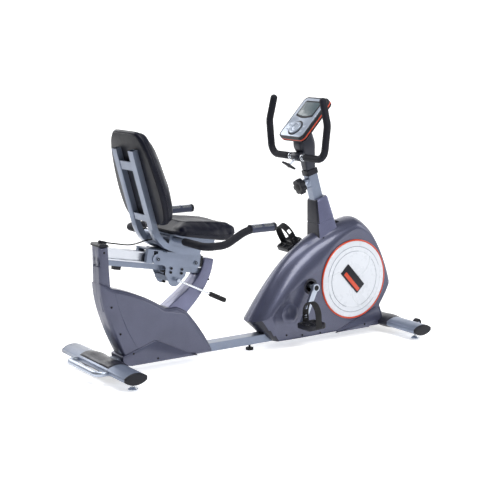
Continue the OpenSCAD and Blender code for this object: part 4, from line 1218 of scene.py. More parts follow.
def build_side_bars():
    """Side handlebar tube, its foam and the pulse grips with their contact plates."""
    section = circle_section(0.0125, 28)
    tube_ = sweep("bar", side_path(0, 0.655), section, finish_of("frame_paint"), side=(0, 0, 1))
    tubes = joined("side_tube", [tube_, mirrored_y(tube_, "bar_right")])
    foam_ = capsule("foam", side_path(0.150, 0.592), 0.0165, finish_of("foam"), 28, 5)
    foams = joined("side_foam", [foam_, mirrored_y(foam_, "foam_right")])

    grip_start = on_rail(49, 0, 72) + Vector((0.035 + 0.181, 0.330, 0.056))
    parts = []
    section = circle_section(0.018, 40)
    spots = (0, 0.0015, 0.004, 0.060, 0.0605, 0.062, 0.0625, 0.118, 0.1205, 0.122)
    body = sweep("grip", [grip_start + Vector((x, 0, 0)) for x in spots], section, finish_of("grip_blue"))
    parts.append(body)
    for start, end in ((0.008, 0.056), (0.066, 0.114)):
        parts.append(contact_plate(grip_start, start, end))
    cap_profile = [(0.0185, 0), (0.0186, 0.003), (0.0186, 0.0095), (0.017, 0.0125), (0.012, 0.0138),
                   (0.001, 0.0142)]
    cap = revolve("cap", cap_profile, finish_of("black_plastic"), 40)
    forward = Matrix.Rotation(math.pi / 2, 4, "Y")
    placed(cap, Matrix.Translation(grip_start + Vector((0.1165, 0, 0))) @ forward)
    lip_profile = [(0.0165, 0), (0.0184, 0), (0.0184, 0.005), (0.0165, 0.005)]
    lip = revolve("lip", lip_profile, finish_of("black_plastic"), 40)
    placed(lip, Matrix.Translation(grip_start + Vector((-0.001, 0, 0))) @ forward)
    parts += [cap, lip]
    grip = joined("grip_left", parts)
    grips = joined("pulse_grip_bodies", [grip, mirrored_y(grip, "grip_right")])
    return tubes, foams, grips


def contact_plate(origin, start, end):
    """A curved steel pulse plate over the top of the grip, a little proud."""
    verts = []
    rows = [(start, 0.0175), (start + 0.0008, 0.0186), (end - 0.0008, 0.0186), (end, 0.0175)]
    arc = [math.radians(lerp(22, 158, i / 12)) for i in range(13)]
    for x, radius in rows:
        ring = [(radius * math.cos(a), radius * math.sin(a)) for a in arc]
        ring += [(0.0165 * math.cos(a), 0.0165 * math.sin(a)) for a in reversed(arc)]
        verts += [origin + Vector((x, u, v)) for u, v in ring]
    return new_mesh("plate", verts, ring_faces(len(rows), 26), finish_of("grip_steel"), 35)


def handlebar_path(start):
    """Middle line of the right half of the console handlebar from the given distance out."""
    centre = on_mast(-48, 0, 90)
    legs = [(150 - start, 82, 55), (95, 26, 60), (112, 0, 0)]
    y, z, heading = start, 0.0, 0.0
    points = [(y, z)]
    for length, bend, radius in legs:
        for k in range(1, 7):
            points.append((y + math.cos(heading) * length * k / 6, z + math.sin(heading) * length * k / 6))
        y, z = points[-1]
        steps = 10
        turn = math.radians(bend) / steps
        for _ in range(steps if bend else 0):
            chord = 2 * radius * math.sin(turn / 2)
            y += chord * math.cos(heading + turn / 2)
            z += chord * math.sin(heading + turn / 2)
            heading += turn
            points.append((y, z))
    return [centre + Vector((0, -a, b)) * MM for a, b in points]


def build_handlebar():
    """Foam-covered console handlebar and the bare middle of its tube."""
    right = capsule("foam", handlebar_path(48), 0.0165, finish_of("foam"), 32, 7)
    foam_ = joined("handlebar_grips", [right, mirrored_y(right, "foam_left")])
    rings = []
    for side in (-1, 1):
        profile = [(0.0125, 0), (0.0172, 0.0004), (0.0178, 0.0016), (0.0178, 0.005), (0.017, 0.0064),
                   (0.0125, 0.0068)]
        ring = revolve("ring", profile, finish_of("chrome_steel"), 40)
        centre = on_mast(-48, 0, 90)
        turn = Matrix.Rotation(-side * math.pi / 2, 4, "X")
        placed(ring, Matrix.Translation(centre + Vector((0, side * 0.0425, 0))) @ turn)
        rings.append(ring)
    centre = on_mast(-48, 0, 90)
    tube = rod_y("handlebar_tube", (centre.x, centre.z), 0.0125, -0.060, 0.060, finish_of("chrome_steel"))
    return foam_, joined("handlebar_rings", rings), tube


# --------------------------------------------------------------------- console


def console_matrix(lift=0.0):
    """Placement whose X runs up the console face and Z comes out of it."""
    up = (math.cos(CONSOLE_TILT), 0, math.sin(CONSOLE_TILT))
    out = Vector((-math.sin(CONSOLE_TILT), 0, math.cos(CONSOLE_TILT)))
    return frame_matrix(CONSOLE + out * lift, up, out)


def window_outline(x0, x1, half, sag, corner=0.009):
    """Outline of the display window, whose lower edge bows down in the middle."""
    count = 14
    lower = [(x0 - sag * math.sin(math.pi * i / count), lerp(half, -half, i / count))
             for i in range(count + 1)]
    upper = []
    for cy, start in ((-1, -90), (1, 0)):
        for i in range(6):
            a = math.radians(start + 90 * i / 5)
            upper.append((x1 - corner + corner * math.cos(a), cy * (half - corner) + corner * math.sin(a)))
    return lower + upper


def build_console(length, width):
    """Console housing, face, trim stripe, display window, keys, dial and enter button."""
    black, silver = finish_of("black_plastic"), finish_of("console_silver")
    here = console_matrix()
    rim = slab("rim", round_rect(length, width, 0.026, 8), -0.0155, 0.0, black, 0.003, 4)
    body = slab("body", round_rect(length - 0.004, width - 0.004, 0.025, 8), -0.0235, -0.015, black, 0.002, 3)
    stripe = slab("stripe", round_rect(length + 0.001, width + 0.001, 0.0265, 8), -0.0205, -0.0150,
                  finish_of("ring_orange"), 0.0018, 4)
    face_outline = round_rect(length - 0.016, width - 0.016, 0.020, 8)
    face = slab("face", face_outline, -0.004, 0.0011, silver, 0.0016, 3)
    frame_ = slab("window", window_outline(0.006, 0.096, 0.062, 0.012), -0.002, 0.0021,
                  finish_of("black_plastic"), 0.001)
    keys = []
    for x, y in ((-0.050, 0.055), (-0.078, 0.055), (-0.050, -0.055), (-0.078, -0.055)):
        key = slab("key", round_rect(0.011, 0.017, 0.005, 6), 0.0, 0.0026, finish_of("zinc_steel"), 0.0008)
        keys.append(placed(key, Matrix.Translation((x, y, 0))))
    well = revolve("well",
                   [(0.0415, 0.0), (0.0415, 0.0018), (0.0395, 0.0026), (0.0345, 0.0014), (0.002, 0.0014)],
                   finish_of("black_plastic"), 64)
    placed(well, Matrix.Translation((-0.064, 0, 0)))
    bezel = joined("console_face", [rim, body, stripe, face, frame_, well] + keys)
    placed(bezel, here)

    glass = slab("console_glass", window_outline(0.014, 0.087, 0.054, 0.009, 0.005), 0.0022, 0.0030,
                 finish_of("screen"), 0.0004)
    placed(glass, here)

    shelf_outline = round_rect(length - 0.002, width - 0.002, 0.026, 8)
    back = [slab("shelf", shelf_outline, -0.0325, -0.0232, black, 0.006, 5)]
    hump = slab("hump", round_rect(length - 0.052, width - 0.042, 0.022, 8), -0.0475, -0.030, black, 0.011, 6)
    back.append(placed(hump, Matrix.Translation((-0.006, 0, 0))))
    # Painted shade: each vent slot is a thin dark strip laid on the hump, in place of an opening with shade
    # inside.
    for k in range(7):
        vent = slab("vent", round_rect(0.003, 0.07, 0.0014, 4), -0.0482, -0.046,
                    finish_of("recess_dark"), 0.0004)
        back.append(placed(vent, Matrix.Translation((0.030 + 0.0075 * k, 0, 0))))
    shelf = placed(joined("console_back", back), here)

    ring_profile = [(0.0202, 0.0015), (0.0202, 0.0068), (0.0212, 0.0080), (0.024, 0.0084), (0.0300, 0.0078),
                    (0.0325, 0.0066), (0.0332, 0.0050), (0.0332, 0.0015), (0.0202, 0.0015)]
    ring = revolve("console_ring", ring_profile, silver, 96, 50)
    placed(ring, here @ Matrix.Translation((-0.064, 0, 0)))
    cap_profile = [(0.0192, -0.003), (0.0192, 0.0052), (0.0182, 0.0064), (0.013, 0.0070),
                   (0.006, 0.0071), (0.0005, 0.0071)]
    cap = revolve("console_button", cap_profile, finish_of("zinc_steel"), 72, 40)
    oval = slab("oval", [(x, y * 0.0075 / 0.012) for x, y in circle_section(0.012, 40)],
                0.0068, 0.0079, silver, 0.0006)
    button = joined("console_button", [cap, oval])
    placed(button, here @ Matrix.Translation((-0.064, 0, 0)))
    return bezel, glass, shelf, ring, button


def build_boot():
    """Moulded cover between the post and the console."""
    rows = [(16, -27, 25, 24), (30, -26.5, 28, 25.5), (52, -25, 33, 28), (76, -24, 38, 30),
            (92, -29, 42, 31.5), (112, -36, 47, 34), (132, -40, 50, 35.5), (152, -36, 49, 35.5),
            (174, -24, 46, 35), (192, -10, 44, 34)]
    verts = []
    for u, f0, f1, half in rows:
        for a, b in round_rect(1.0, 1.0, 0.24, 5):
            verts.append(on_mast((f0 + f1) / 2 + a * (f1 - f0), b * 2 * half, u))
    boot = new_mesh("post_boot", verts, ring_faces(len(rows), 24), finish_of("post_blue"), 40)
    post = placed(block("post", mm(-21.4, -16.4, 0), mm(21.4, 16.4, 300), finish_of("recess_dark")),
                  frame_matrix(MAST_ORIGIN, MAST_F, MAST_U))
    centre = on_mast(-48, 0, 90)
    bar = rod_y("bar", (centre.x, centre.z), 0.0195, -0.06, 0.06, finish_of("recess_dark"))
    return cut(boot, [post, bar])


def lobed_outline(radius, depth, lobes, count=96):
    """A hand-knob outline with smooth finger hollows."""
    points = []
    for i in range(count):
        a = TAU * i / count
        dip = (0.5 - 0.5 * math.cos(lobes * a)) ** 2.2
        points.append(((radius - depth * dip) * math.cos(a), (radius - depth * dip) * math.sin(a)))
    return points


def build_post_knob():
    """Spring-pin knob of the console post: stem, skirt and lobed grip with a domed cap."""
    here = frame_matrix(on_mast(-25, 0, -48), MAST_U, -MAST_F)
    stem = revolve("stem", [(0.006, -0.0036), (0.006, 0.032)], finish_of("chrome_steel"), 32)
    skirt = revolve("skirt", [(0.0245, 0.0245), (0.026, 0.027), (0.0262, 0.033), (0.0245, 0.036)],
                    finish_of("zinc_steel"), 64)
    grip = slab("grip", lobed_outline(0.0376, 0.0066, 7), 0.0335, 0.0615,
                finish_of("black_plastic"), 0.0045, 5)
    cap = revolve("cap",
                  [(0.0175, 0.0595), (0.0175, 0.0612), (0.016, 0.0622), (0.008, 0.0624), (0.0005, 0.0620)],
                  finish_of("recess_dark"), 48)
    return placed(joined("post_knob_grip", [stem, skirt, grip, cap]), here)


def build_clamp_knob():
    """Wing screw that clamps the handlebar."""
    turn = math.radians(180 + 52 + 17)
    axis = MAST_F * math.sin(turn) + MAST_U * math.cos(turn)
    across = Vector((0, 1, 0))
    here = frame_matrix(on_mast(-48, 0, 90), axis.cross(across) * -1, axis)
    here = here @ Matrix.Rotation(math.radians(-27), 4, "Z")
    stem = revolve("stem", [(0.004, 0.0135), (0.004, 0.0618)], finish_of("zinc_steel"), 24)
    hub = revolve("hub",
                  [(0.0085, 0.0545), (0.0102, 0.057), (0.0102, 0.063), (0.0085, 0.0668), (0.0005, 0.068)],
                  finish_of("black_plastic"), 40)
    outline = []
    for i in range(48):
        a = TAU * i / 48
        reach = 0.009 + 0.0315 * abs(math.sin(a)) ** 1.6
        outline.append((0.0098 * math.cos(a), reach * math.sin(a)))
    wing = slab("wing", outline, 0.0560, 0.0660, finish_of("black_plastic"), 0.0032, 4)
    return placed(joined("clamp_wing", [stem, hub, wing]), here)


# ---------------------------------------------------------- pedals and small parts


def build_pedal(left):
    """Pedal platform with tread bars, cage, bearing caps and a buckled strap."""
    black, rubber = finish_of("black_plastic"), finish_of("rubber")
    inner, width, length = 0.132, 0.098, 0.096
    parts = []
    barrel = revolve("barrel",
                     [(0.009, -0.003), (0.0128, -0.0015), (0.0128, 0.094), (0.011, 0.098), (0.0055, 0.0985)],
                     black, 32)
    parts.append(placed(barrel, Matrix.Translation((0, inner, 0)) @ Matrix.Rotation(-math.pi / 2, 4, "X")))
    outline = rounded_outline([(-length / 2, 0.004), (-length / 2 + 0.010, 0.0), (length / 2 - 0.010, 0.0),
                               (length / 2, 0.004), (length / 2, width - 0.006), (length / 2 - 0.012, width),
                               (-length / 2 + 0.012, width), (-length / 2, width - 0.006)], 5)
    plate = slab("plate", outline, -0.0115, 0.0115, black, 0.003, 3)
    holes = []
    for x0, x1 in ((-0.040, -0.017), (0.017, 0.040)):
        for y0, y1 in ((0.009, 0.045), (0.053, 0.089)):
            holes.append(block("hole", (x0, y0, -0.02), (x1, y1, 0.02), black))
    cut(plate, holes)
    parts.append(placed(plate, Matrix.Translation((0, inner, 0))))
    for x in (-0.044, -0.0135, 0.0135, 0.044):
        for side in (-1, 1):
            bar = [(-0.0028, 0.010), (0.0028, 0.010), (0.0028, width - 0.010), (-0.0028, width - 0.010)]
            tread = slab("tread", bar, 0.0105, 0.0122, rubber, 0.0007, 2)
            tread.data.transform(Matrix.Translation((x, inner, 0)))
            if side < 0:
                tread.data.transform(Matrix.Rotation(math.pi, 4, "Y"))
            parts.append(tread)
    parts.append(strap(inner + width / 2, width / 2))
    pedal = joined("pedal_" + ("left" if left else "right") + "_body", parts)
    if not left:
        mirrored = mirrored_y(pedal, pedal.name)
        bpy.data.objects.remove(pedal)
        mirrored.name = "pedal_right_body"
        pedal = mirrored
    sign = -1 if left else 1
    spot = CRANK + Vector((math.cos(CRANK_ANGLE), 0, math.sin(CRANK_ANGLE))) * CRANK_LEN * sign
    tip = math.radians(-30 if left else -3)
    return placed(pedal, Matrix.Translation(spot) @ Matrix.Rotation(tip, 4, "Y"))


def strap(middle, half):
    """Rubber toe strap arched over the pedal, with its row of adjusting holes."""
    half -= 0.0006
    arc = [(half, -0.004), (half, 0.010)]
    arc += [(half * math.cos(math.pi * i / 28), 0.048 + 0.0605 * math.sin(math.pi * i / 28))
            for i in range(29)]
    arc += [(-half, 0.010), (-half, -0.004)]
    path = [Vector((0.004, middle + y, z)) for y, z in arc]
    section = round_rect(0.034, 0.0024, 0.0011, 2)
    band = sweep("strap", path, section, finish_of("rubber"), side=(1, 0, 0))
    holes = []
    for k in range(6):
        a = math.pi * (0.80 + 0.028 * k)
        spot = Vector((0.004, middle + half * math.cos(a), 0.048 + 0.0605 * math.sin(a)))
        if k > 3:
            spot = Vector((0.004, middle - half, 0.048 - 0.0105 * (k - 3)))
        half_hole = Vector((0.008, 0.006, 0.0026))
        holes.append(block("hole", spot - half_hole, spot + half_hole,
                           finish_of("rubber")))
    return cut(band, holes)


def build_crank_caps():
    """Axle nuts and pedal-spindle ends on the crank arms."""
    caps = []
    for side in (-1, 1):
        for radius, spot, start in ((0.0125, CRANK, 0.1238), (0.0085, None, 0.1222)):
            if spot is None:
                spot = CRANK + Vector((math.cos(CRANK_ANGLE), 0, math.sin(CRANK_ANGLE))) * CRANK_LEN * -side
            profile = [(radius, 0), (radius, 0.0008), (radius * 0.9, 0.0022), (radius * 0.55, 0.0024),
                       (radius * 0.5, 0.0012), (0.0005, 0.0012)]
            if radius > 0.01:
                cap = revolve("cap", profile, finish_of("recess_dark"), 36)
                turn = Matrix.Rotation(-side * math.pi / 2, 4, "X")
                caps.append(placed(cap, Matrix.Translation((spot.x, side * start, spot.z)) @ turn))
    return joined("crank_caps", caps)


def build_lever():
    """Seat release lever: cross shaft, bent rod and ribbed rubber grip."""
    turn = math.radians(90 + 26 - 10.5)
    axis = RAIL_S * math.sin(turn) + RAIL_T * math.cos(turn)
    pivot = on_rail(104, -74, -104)
    here = frame_matrix(pivot, Vector((0, 1, 0)), axis)
    shaft = rod_y("shaft", (pivot.x, pivot.z), 0.005, -0.074, 0.059, finish_of("chrome_steel"), 28)
    hub = revolve("hub", [(0.0078, -0.007), (0.009, -0.0055), (0.009, 0.0055), (0.0078, 0.007)],
                  finish_of("zinc_steel"), 40)
    placed(hub, Matrix.Translation(pivot) @ Matrix.Rotation(math.pi / 2, 4, "X"))
    rod = placed(revolve("rod", [(0.005, 0.0), (0.005, 0.178)], finish_of("chrome_steel"), 28), here)
    profile = [(0.0062, 0.1745), (0.0088, 0.1755), (0.0102, 0.1785)]
    for k in range(9):
        z = 0.184 + 0.0075 * k
        profile += [(0.0110, z), (0.0110, z + 0.0048), (0.0102, z + 0.0056), (0.0102, z + 0.0069)]
    profile += [(0.0110, 0.2530), (0.0110, 0.2610), (0.0098, 0.2655), (0.0060, 0.2678), (0.0005, 0.2680)]
    grip = placed(revolve("grip", profile, finish_of("rubber"), 40), here)
    return joined("release_handle", [shaft, hub, rod, grip])


def build_oval_parts():
    """Stabilizer end caps and the humped sleeves where the beam meets the stabilizers."""
    caps, sleeves = [], []
    for x, length in ((XR, 0.580), (XF, 0.660)):
        for side in (-1, 1):
            rows = [(-1, 0.995), (-0.2, 1.0), (0.35, 0.985), (0.75, 0.94), (0.95, 0.88), (1, 0.80)]
            cap = oval_bar("cap", 0.105, 0.052, 0.009, finish_of("black_plastic"), rows)
            if side < 0:
                cap.data.transform(Matrix.Rotation(math.pi, 4, "Z"))
            caps.append(placed(cap, Matrix.Translation((x, side * (length / 2 - 0.0043), 0.052))))
        rows = []
        for i in range(-30, 31):
            share = i / 30
            hump = 0.10 * math.exp(-(((abs(share) - 0.60) / 0.22) ** 2))
            edge = 0.07 * smooth_step((abs(share) - 0.88) / 0.12)
            rows.append((share, 0.945 + hump - edge))
        sleeve = oval_bar("sleeve", 0.119, 0.060, 0.270, finish_of("shell_dark"), rows)
        placed(sleeve, Matrix.Translation((x, 0, 0.052)))
        stab = placed(oval_bar("bore", 0.1056, 0.0526, 0.4, finish_of("shell_dark")),
                      Matrix.Translation((x, 0, 0.052)))
        beam = block("beam", (XR, -0.0303, 0.0307), (XF, 0.0303, 0.0693), finish_of("shell_dark"))
        rear_cut = block("back", (XR - 0.2, -0.2, 0), (XR - 0.0435, 0.2, 0.12), finish_of("shell_dark"))
        sleeves.append(cut(sleeve, [stab, beam, rear_cut]))
    return joined("stabilizer_end_caps", caps), joined("joint_sleeves", sleeves)


def build_plate_bolts():
    """Dark socket bolts of the seat carriage plates."""
    bolts = []
    for side in (-1, 1):
        for s, t, radius, start in ((71, -57, 6, 59), (71, -74, 6, 59), (125, -57, 6, 59), (125, -74, 6, 59),
                                    (0, -23.5, 7, 60), (190, -23.5, 7, 60)):
            profile = [(radius, 0), (radius, 1.2), (radius * 0.86, 1.9), (radius * 0.5, 1.9),
                       (radius * 0.45, 0.7), (0.4, 0.7)]
            bolt = revolve("bolt", [(r * MM, h * MM) for r, h in profile], finish_of("recess_dark"), 24)
            spot = on_rail(s, 0, t)
            turn = Matrix.Rotation(-side * math.pi / 2, 4, "X")
            bolts.append(placed(bolt, Matrix.Translation((spot.x, side * start * MM, spot.z)) @ turn))
    return joined("carriage_bolts", bolts)


# -------------------------------------------------------------- geometry nodes


class NodeTree:
    """A Geometry Nodes group under construction, with named inputs."""

    def __init__(self, name, inputs):
        self.group = bpy.data.node_groups.new(name, "GeometryNodeTree")
        self.group.interface.new_socket("Geometry", in_out="INPUT", socket_type="NodeSocketGeometry")
        for label, kind, default in inputs:
            socket = self.group.interface.new_socket(label, in_out="INPUT", socket_type=kind)
            if default is not None:
                socket.default_value = default
        self.group.interface.new_socket("Geometry", in_out="OUTPUT", socket_type="NodeSocketGeometry")
        self.start = self.group.nodes.new("NodeGroupInput")
        self.end = self.group.nodes.new("NodeGroupOutput")

    def given(self, label):
        """The group's own input."""
        return self.start.outputs[label]

    def node(self, kind, settings=(), links=(), output=0):
        """A node with its settings, then its values or links; returns one output socket."""
        node = self.group.nodes.new(kind)
        for key, value in dict(settings).items():
            setattr(node, key, value)
        for key, value in dict(links).items():
            if isinstance(value, bpy.types.NodeSocket):
                self.group.links.new(value, node.inputs[key])
            else:
                node.inputs[key].default_value = value
        return node.outputs[output]

    def finish(self, geometry):
        self.group.links.new(geometry, self.end.inputs[0])
        return self.group


def run_nodes(obj, group, values, material):
    """Runs the group on the object with inputs set by name, and keeps the mesh it makes."""
    mod = obj.modifiers.new(group.name, "NODES")
    mod.node_group = group
    for item in group.interface.items_tree:
        if item.in_out == "INPUT" and item.name in values:
            mod[item.identifier] = values[item.name]
    obj.update_tag()
    bpy.context.view_layer.update()
    applied(obj)
    obj.data.materials.clear()
    obj.data.materials.append(material)
    obj.data.shade_smooth()
    obj.data.set_sharp_from_angle(angle=math.radians(35))
    return obj


def screw_group(material):
    """Domed screw heads with a driver socket, one at every point and square to it."""
    tree = NodeTree("Screw Heads", [("Radius", "NodeSocketFloat", 0.0045),
                                    ("Height", "NodeSocketFloat", 0.002), ("Sides", "NodeSocketInt", 20)])
    radius, height = tree.given("Radius"), tree.given("Height")

    def scaled(socket, factor):
        return tree.node("ShaderNodeMath", {"operation": "MULTIPLY"}, {0: socket, 1: factor})

    head = tree.node("GeometryNodeMeshCone", {"fill_type": "NGON"}, {
        "Vertices": tree.given("Sides"), "Radius Top": scaled(radius, 0.72), "Radius Bottom": radius,
        "Depth": height})
    socket_ = tree.node("GeometryNodeMeshCylinder", {"fill_type": "NGON"}, {
        "Vertices": 6, "Radius": scaled(radius, 0.42), "Depth": height})
    lifted = tree.node("ShaderNodeCombineXYZ", (), {"Z": scaled(height, 0.6)})
    socket_ = tree.node("GeometryNodeTransform", (), {"Geometry": socket_, "Translation": lifted})
    hollowed = tree.node("GeometryNodeMeshBoolean", {"operation": "DIFFERENCE", "solver": "EXACT"},
                         {"Mesh 1": head, "Mesh 2": socket_})
    normal = tree.node("GeometryNodeInputNamedAttribute", {"data_type": "FLOAT_VECTOR"}, {"Name": "out"})
    turn = tree.node("FunctionNodeAlignRotationToVector", {"axis": "Z"}, {"Vector": normal})
    points = tree.node("GeometryNodeMeshToPoints", (), {"Mesh": tree.given("Geometry")})
    copies = tree.node("GeometryNodeInstanceOnPoints", (), {
        "Points": points, "Instance": hollowed, "Rotation": turn})
    real = tree.node("GeometryNodeRealizeInstances", (), {"Geometry": copies})
    painted = tree.node("GeometryNodeSetMaterial", (), {"Geometry": real, "Material": material})
    return tree.finish(painted)


def build_screws():
    """Cover screws of both sides, set on the covers' faces."""
    spots = []
    for side in (-1, 1):
        for points, half in ((rear([(-4, 532), (506, 362)]), 38), (rear([(237, 50), (118, 88)]), 54),
                             (rear([(20, 300), (60, 180)]), 49.5),
                             (front([(-610, 62), (-520, 50), (-415, 46)]), 79.2), (front([(-150, 52)]), 84),
                             (front([(-382, 488)]), 53.5)):
            spots += [(x, side * (half + 0.7) * MM, z) for x, z in points]
    data = bpy.data.meshes.new("cover_screw_heads")
    data.from_pydata(spots, [], [])
    out = data.attributes.new("out", "FLOAT_VECTOR", "POINT")
    for i, spot in enumerate(spots):
        out.data[i].vector = (0, -1 if spot[1] < 0 else 1, 0)
    screws = bpy.data.objects.new("cover_screw_heads", data)
    bpy.context.scene.collection.objects.link(screws)
    material = finish_of("recess_dark")
    sizes = {"Radius": 0.0048, "Height": 0.0022, "Sides": 20}
    return run_nodes(screws, screw_group(material), sizes, material)


def lead_group(material):
    """A round lead swept along the edges of its input."""
    tree = NodeTree("Lead", [("Radius", "NodeSocketFloat", 0.003), ("Spacing", "NodeSocketFloat", 0.006),
                             ("Sides", "NodeSocketInt", 14)])
    line = tree.node("GeometryNodeMeshToCurve", (), {"Mesh": tree.given("Geometry")})
    even = tree.node("GeometryNodeResampleCurve", {"mode": "LENGTH"}, {
        "Curve": line, "Length": tree.given("Spacing")})
    ring = tree.node("GeometryNodeCurvePrimitiveCircle", (), {"Resolution": tree.given("Sides"),
                                                              "Radius": tree.given("Radius")})
    tube = tree.node("GeometryNodeCurveToMesh", (), {"Curve": even, "Profile Curve": ring, "Fill Caps": True})
    real = tree.node("GeometryNodeRealizeInstances", (), {"Geometry": tube})
    painted = tree.node("GeometryNodeSetMaterial", (), {"Geometry": real, "Material": material})
    return tree.finish(painted)


CABLE_ROUTE = [(26, 567), (40, 564), (60, 560), (85, 555), (110, 550), (135, 547),
               (160, 548), (185, 552), (208, 557), (230, 560), (246, 561)]


def build_cable():
    """Pulse sensor lead between the rear post and the sliding seat."""
    route = [Vector((x, 0, z)) for x, z in rear(CABLE_ROUTE)]
    path = spline(route, 4)
    data = bpy.data.meshes.new("sensor_lead")
    data.from_pydata([tuple(p) for p in path], [(i, i + 1) for i in range(len(path) - 1)], [])
    lead = bpy.data.objects.new("sensor_lead", data)
    bpy.context.scene.collection.objects.link(lead)
    material = finish_of("cable_black")
    run_nodes(lead, lead_group(material), {"Radius": 0.003, "Spacing": 0.004, "Sides": 14}, material)
    length = sum((b - a).length for a, b in zip(path, path[1:]))
    return lead, path, length


# -------------------------------------------------------------- CAD finishes


CAD_FINISH = {
    "handlebar": "chrome_steel", "crank_arms": "zinc_steel", "lift_handle": "zinc_steel",
    "inner_post": "post_blue", "post_cap": "black_plastic", "rail_bumpers": "black_plastic",
    "seat_rail": "rail_aluminium", "rail_tube": "frame_paint", "mast_tube": "frame_paint",
}


def finish_cad_nodes(edge):
    """Gives every shown CAD node its procedural finish and a fine rounded edge."""
    for name, node in frame["nodes"].items():
        for i, old in enumerate(node.data.materials):
            key = CAD_FINISH.get(name) or (old.name.split(".")[0] if old else "frame_paint")
            node.data.materials[i] = MATERIALS.get(key, MATERIALS["frame_paint"])
        if not node.hide_render:
            weld = node.modifiers.new("weld", "WELD")
            weld.merge_threshold = 0.00002
            bevelled(node, edge, 2, 32)


# ----------------------------------------------------------------------- stage


LAMPS = [
    ("key", (0.4, -3.4, 2.6), (1.6, 1.2), 62),
    ("side", (3.2, -1.6, 1.8), (1.4, 2.2), 30),
    ("top", (-0.5, -0.5, 3.8), (3.0, 1.2), 85),
    ("back", (-1.2, 3.0, 2.4), (2.4, 1.6), 40),
]
FLOOR_REACH, FLOOR_BACK, FLOOR_HEIGHT, FLOOR_CURVE = 9.0, 4.5, 6.0, 1.2
CAMERA_AZIMUTH, CAMERA_ELEVATION, CAMERA_DISTANCE = -34.0, 9.8, 5.3506
CAMERA_TARGET = Vector((-0.0527, 0, 0.5133))


def build_stage():
    """White sweep, three soft lamps and the three-quarter camera."""
    low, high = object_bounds()
    floor_ = Shader("floor")
    floor_material = floor_.principled(Base_Color=(0.90, 0.90, 0.905, 1), Roughness=0.7,
                                       Specular_IOR_Level=0.2,
                                       Emission_Color=(1, 1, 1, 1), Emission_Strength=0.55)
    reach, back, curve_ = FLOOR_REACH, FLOOR_BACK, FLOOR_CURVE
    rows = [(-reach, low[2])]
    rows += [(back - curve_ + curve_ * math.sin(a), low[2] + curve_ * (1 - math.cos(a)))
             for a in [math.pi / 2 * i / 12 for i in range(13)]]
    rows.append((back, FLOOR_HEIGHT))
    turn = Matrix.Rotation(math.radians(CAMERA_AZIMUTH), 4, "Z")
    verts = [turn @ Vector((x, y, z)) for y, z in rows for x in (-reach, reach)]
    faces = [(2 * i, 2 * i + 1, 2 * i + 3, 2 * i + 2) for i in range(len(rows) - 1)]
    data = bpy.data.meshes.new("sweep")
    data.from_pydata([tuple(v) for v in verts], [], faces)
    data.shade_smooth()
    data.materials.append(floor_material)
    sweep_ = bpy.data.objects.new("sweep", data)
    bpy.context.scene.collection.objects.link(sweep_)
    sweep_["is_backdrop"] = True

    bpy.context.scene.view_settings.view_transform = "Standard"
    world = bpy.data.worlds.new("studio")
    bpy.context.scene.world = world
    world.use_nodes = True
    background = world.node_tree.nodes.get("Background")
    background.inputs["Color"].default_value = (0.95, 0.97, 1.0, 1)
    background.inputs["Strength"].default_value = 0.22

    middle = (Vector(low) + Vector(high)) / 2
    for name, spot, size, power in LAMPS:
        lamp = bpy.data.lights.new(name, "AREA")
        lamp.shape = "RECTANGLE"
        lamp.size, lamp.size_y = size
        lamp.energy = power
        obj = bpy.data.objects.new(name, lamp)
        obj.location = spot
        obj.rotation_euler = (middle - Vector(spot)).to_track_quat("-Z", "Y").to_euler()
        bpy.context.scene.collection.objects.link(obj)
        obj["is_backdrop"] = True


def build_camera(azimuth, elevation, distance, lens):
    """The three-quarter view from the right rear, at eye height of a seated person."""
    a, e = math.radians(azimuth), math.radians(elevation)
    back = Vector((math.sin(a) * math.cos(e), -math.cos(a) * math.cos(e), math.sin(e)))
    data = bpy.data.cameras.new("camera")
    data.lens = lens
    data.sensor_width = 36
    camera = bpy.data.objects.new("camera", data)
    camera.location = CAMERA_TARGET + back * distance
    camera.rotation_euler = (-back).to_track_quat("-Z", "Y").to_euler()
    bpy.context.scene.collection.objects.link(camera)
    bpy.context.scene.camera = camera


# ------------------------------------------------------------ add-on operators


class BikeSettings(bpy.types.PropertyGroup):
    """Sizes and options of the visible parts; lengths are in millimetres."""

    rear_half: FloatProperty(name="Rear cover half width", default=48.0, min=42.0, max=54.0,
                             description="Half width of the rear cover's body")
    mast_half: FloatProperty(name="Rear mast half width", default=38.0, min=36.0, max=41.0,
                             description="Half width of the rear cover's mast and arm")
    front_half: FloatProperty(name="Front cover half width", default=79.0, min=74.0, max=82.0,
                              description="Half width of the front cover's flat side")
    disc_radius: FloatProperty(name="Disc radius", description="Radius of the side discs with their rings",
                               default=189.5, min=170.0, max=192.0)
    console_length: FloatProperty(name="Console length", description="Length of the console face",
                                  default=240.0, min=220.0, max=244.0)
    console_width: FloatProperty(name="Console width", description="Width of the console face",
                                 default=180.0, min=160.0, max=184.0)
    edge: FloatProperty(name="Edge rounding", default=0.8, min=0.2, max=2.0,
                        description="Rounding of the metal parts' edges, in millimetres")
    lens: FloatProperty(name="Lens", description="Focal length of the camera in millimetres", default=89.6,
                        min=35.0, max=135.0)


def operator(name, label, text, work):
    """An operator class that runs one builder with the scene's settings."""

    def execute(self, context):
        work(context.scene.bike)
        return {"FINISHED"}

    members = {"bl_idname": "bike." + name, "bl_label": label, "__doc__": text, "execute": execute}
    return type("BIKE_OT_" + name, (bpy.types.Operator,), members)


def add_materials(_settings):
    MATERIALS.update(make_materials())


def add_rear_cover(s):
    shell = build_rear_cover({"body": s.rear_half, "mast": s.mast_half})
    stands_for(shell, "rear_cover_right", "rear_cover_left")


def add_front_cover(s):
    stands_for(build_front_cover(s.front_half), "front_cover_right", "front_cover_left")
    discs, trims = build_discs(s.front_half, s.disc_radius)
    stands_for(discs, "side_discs")
    stands_for(trims, "disc_rings")
    stands_for(build_shroud(), "mast_shroud")


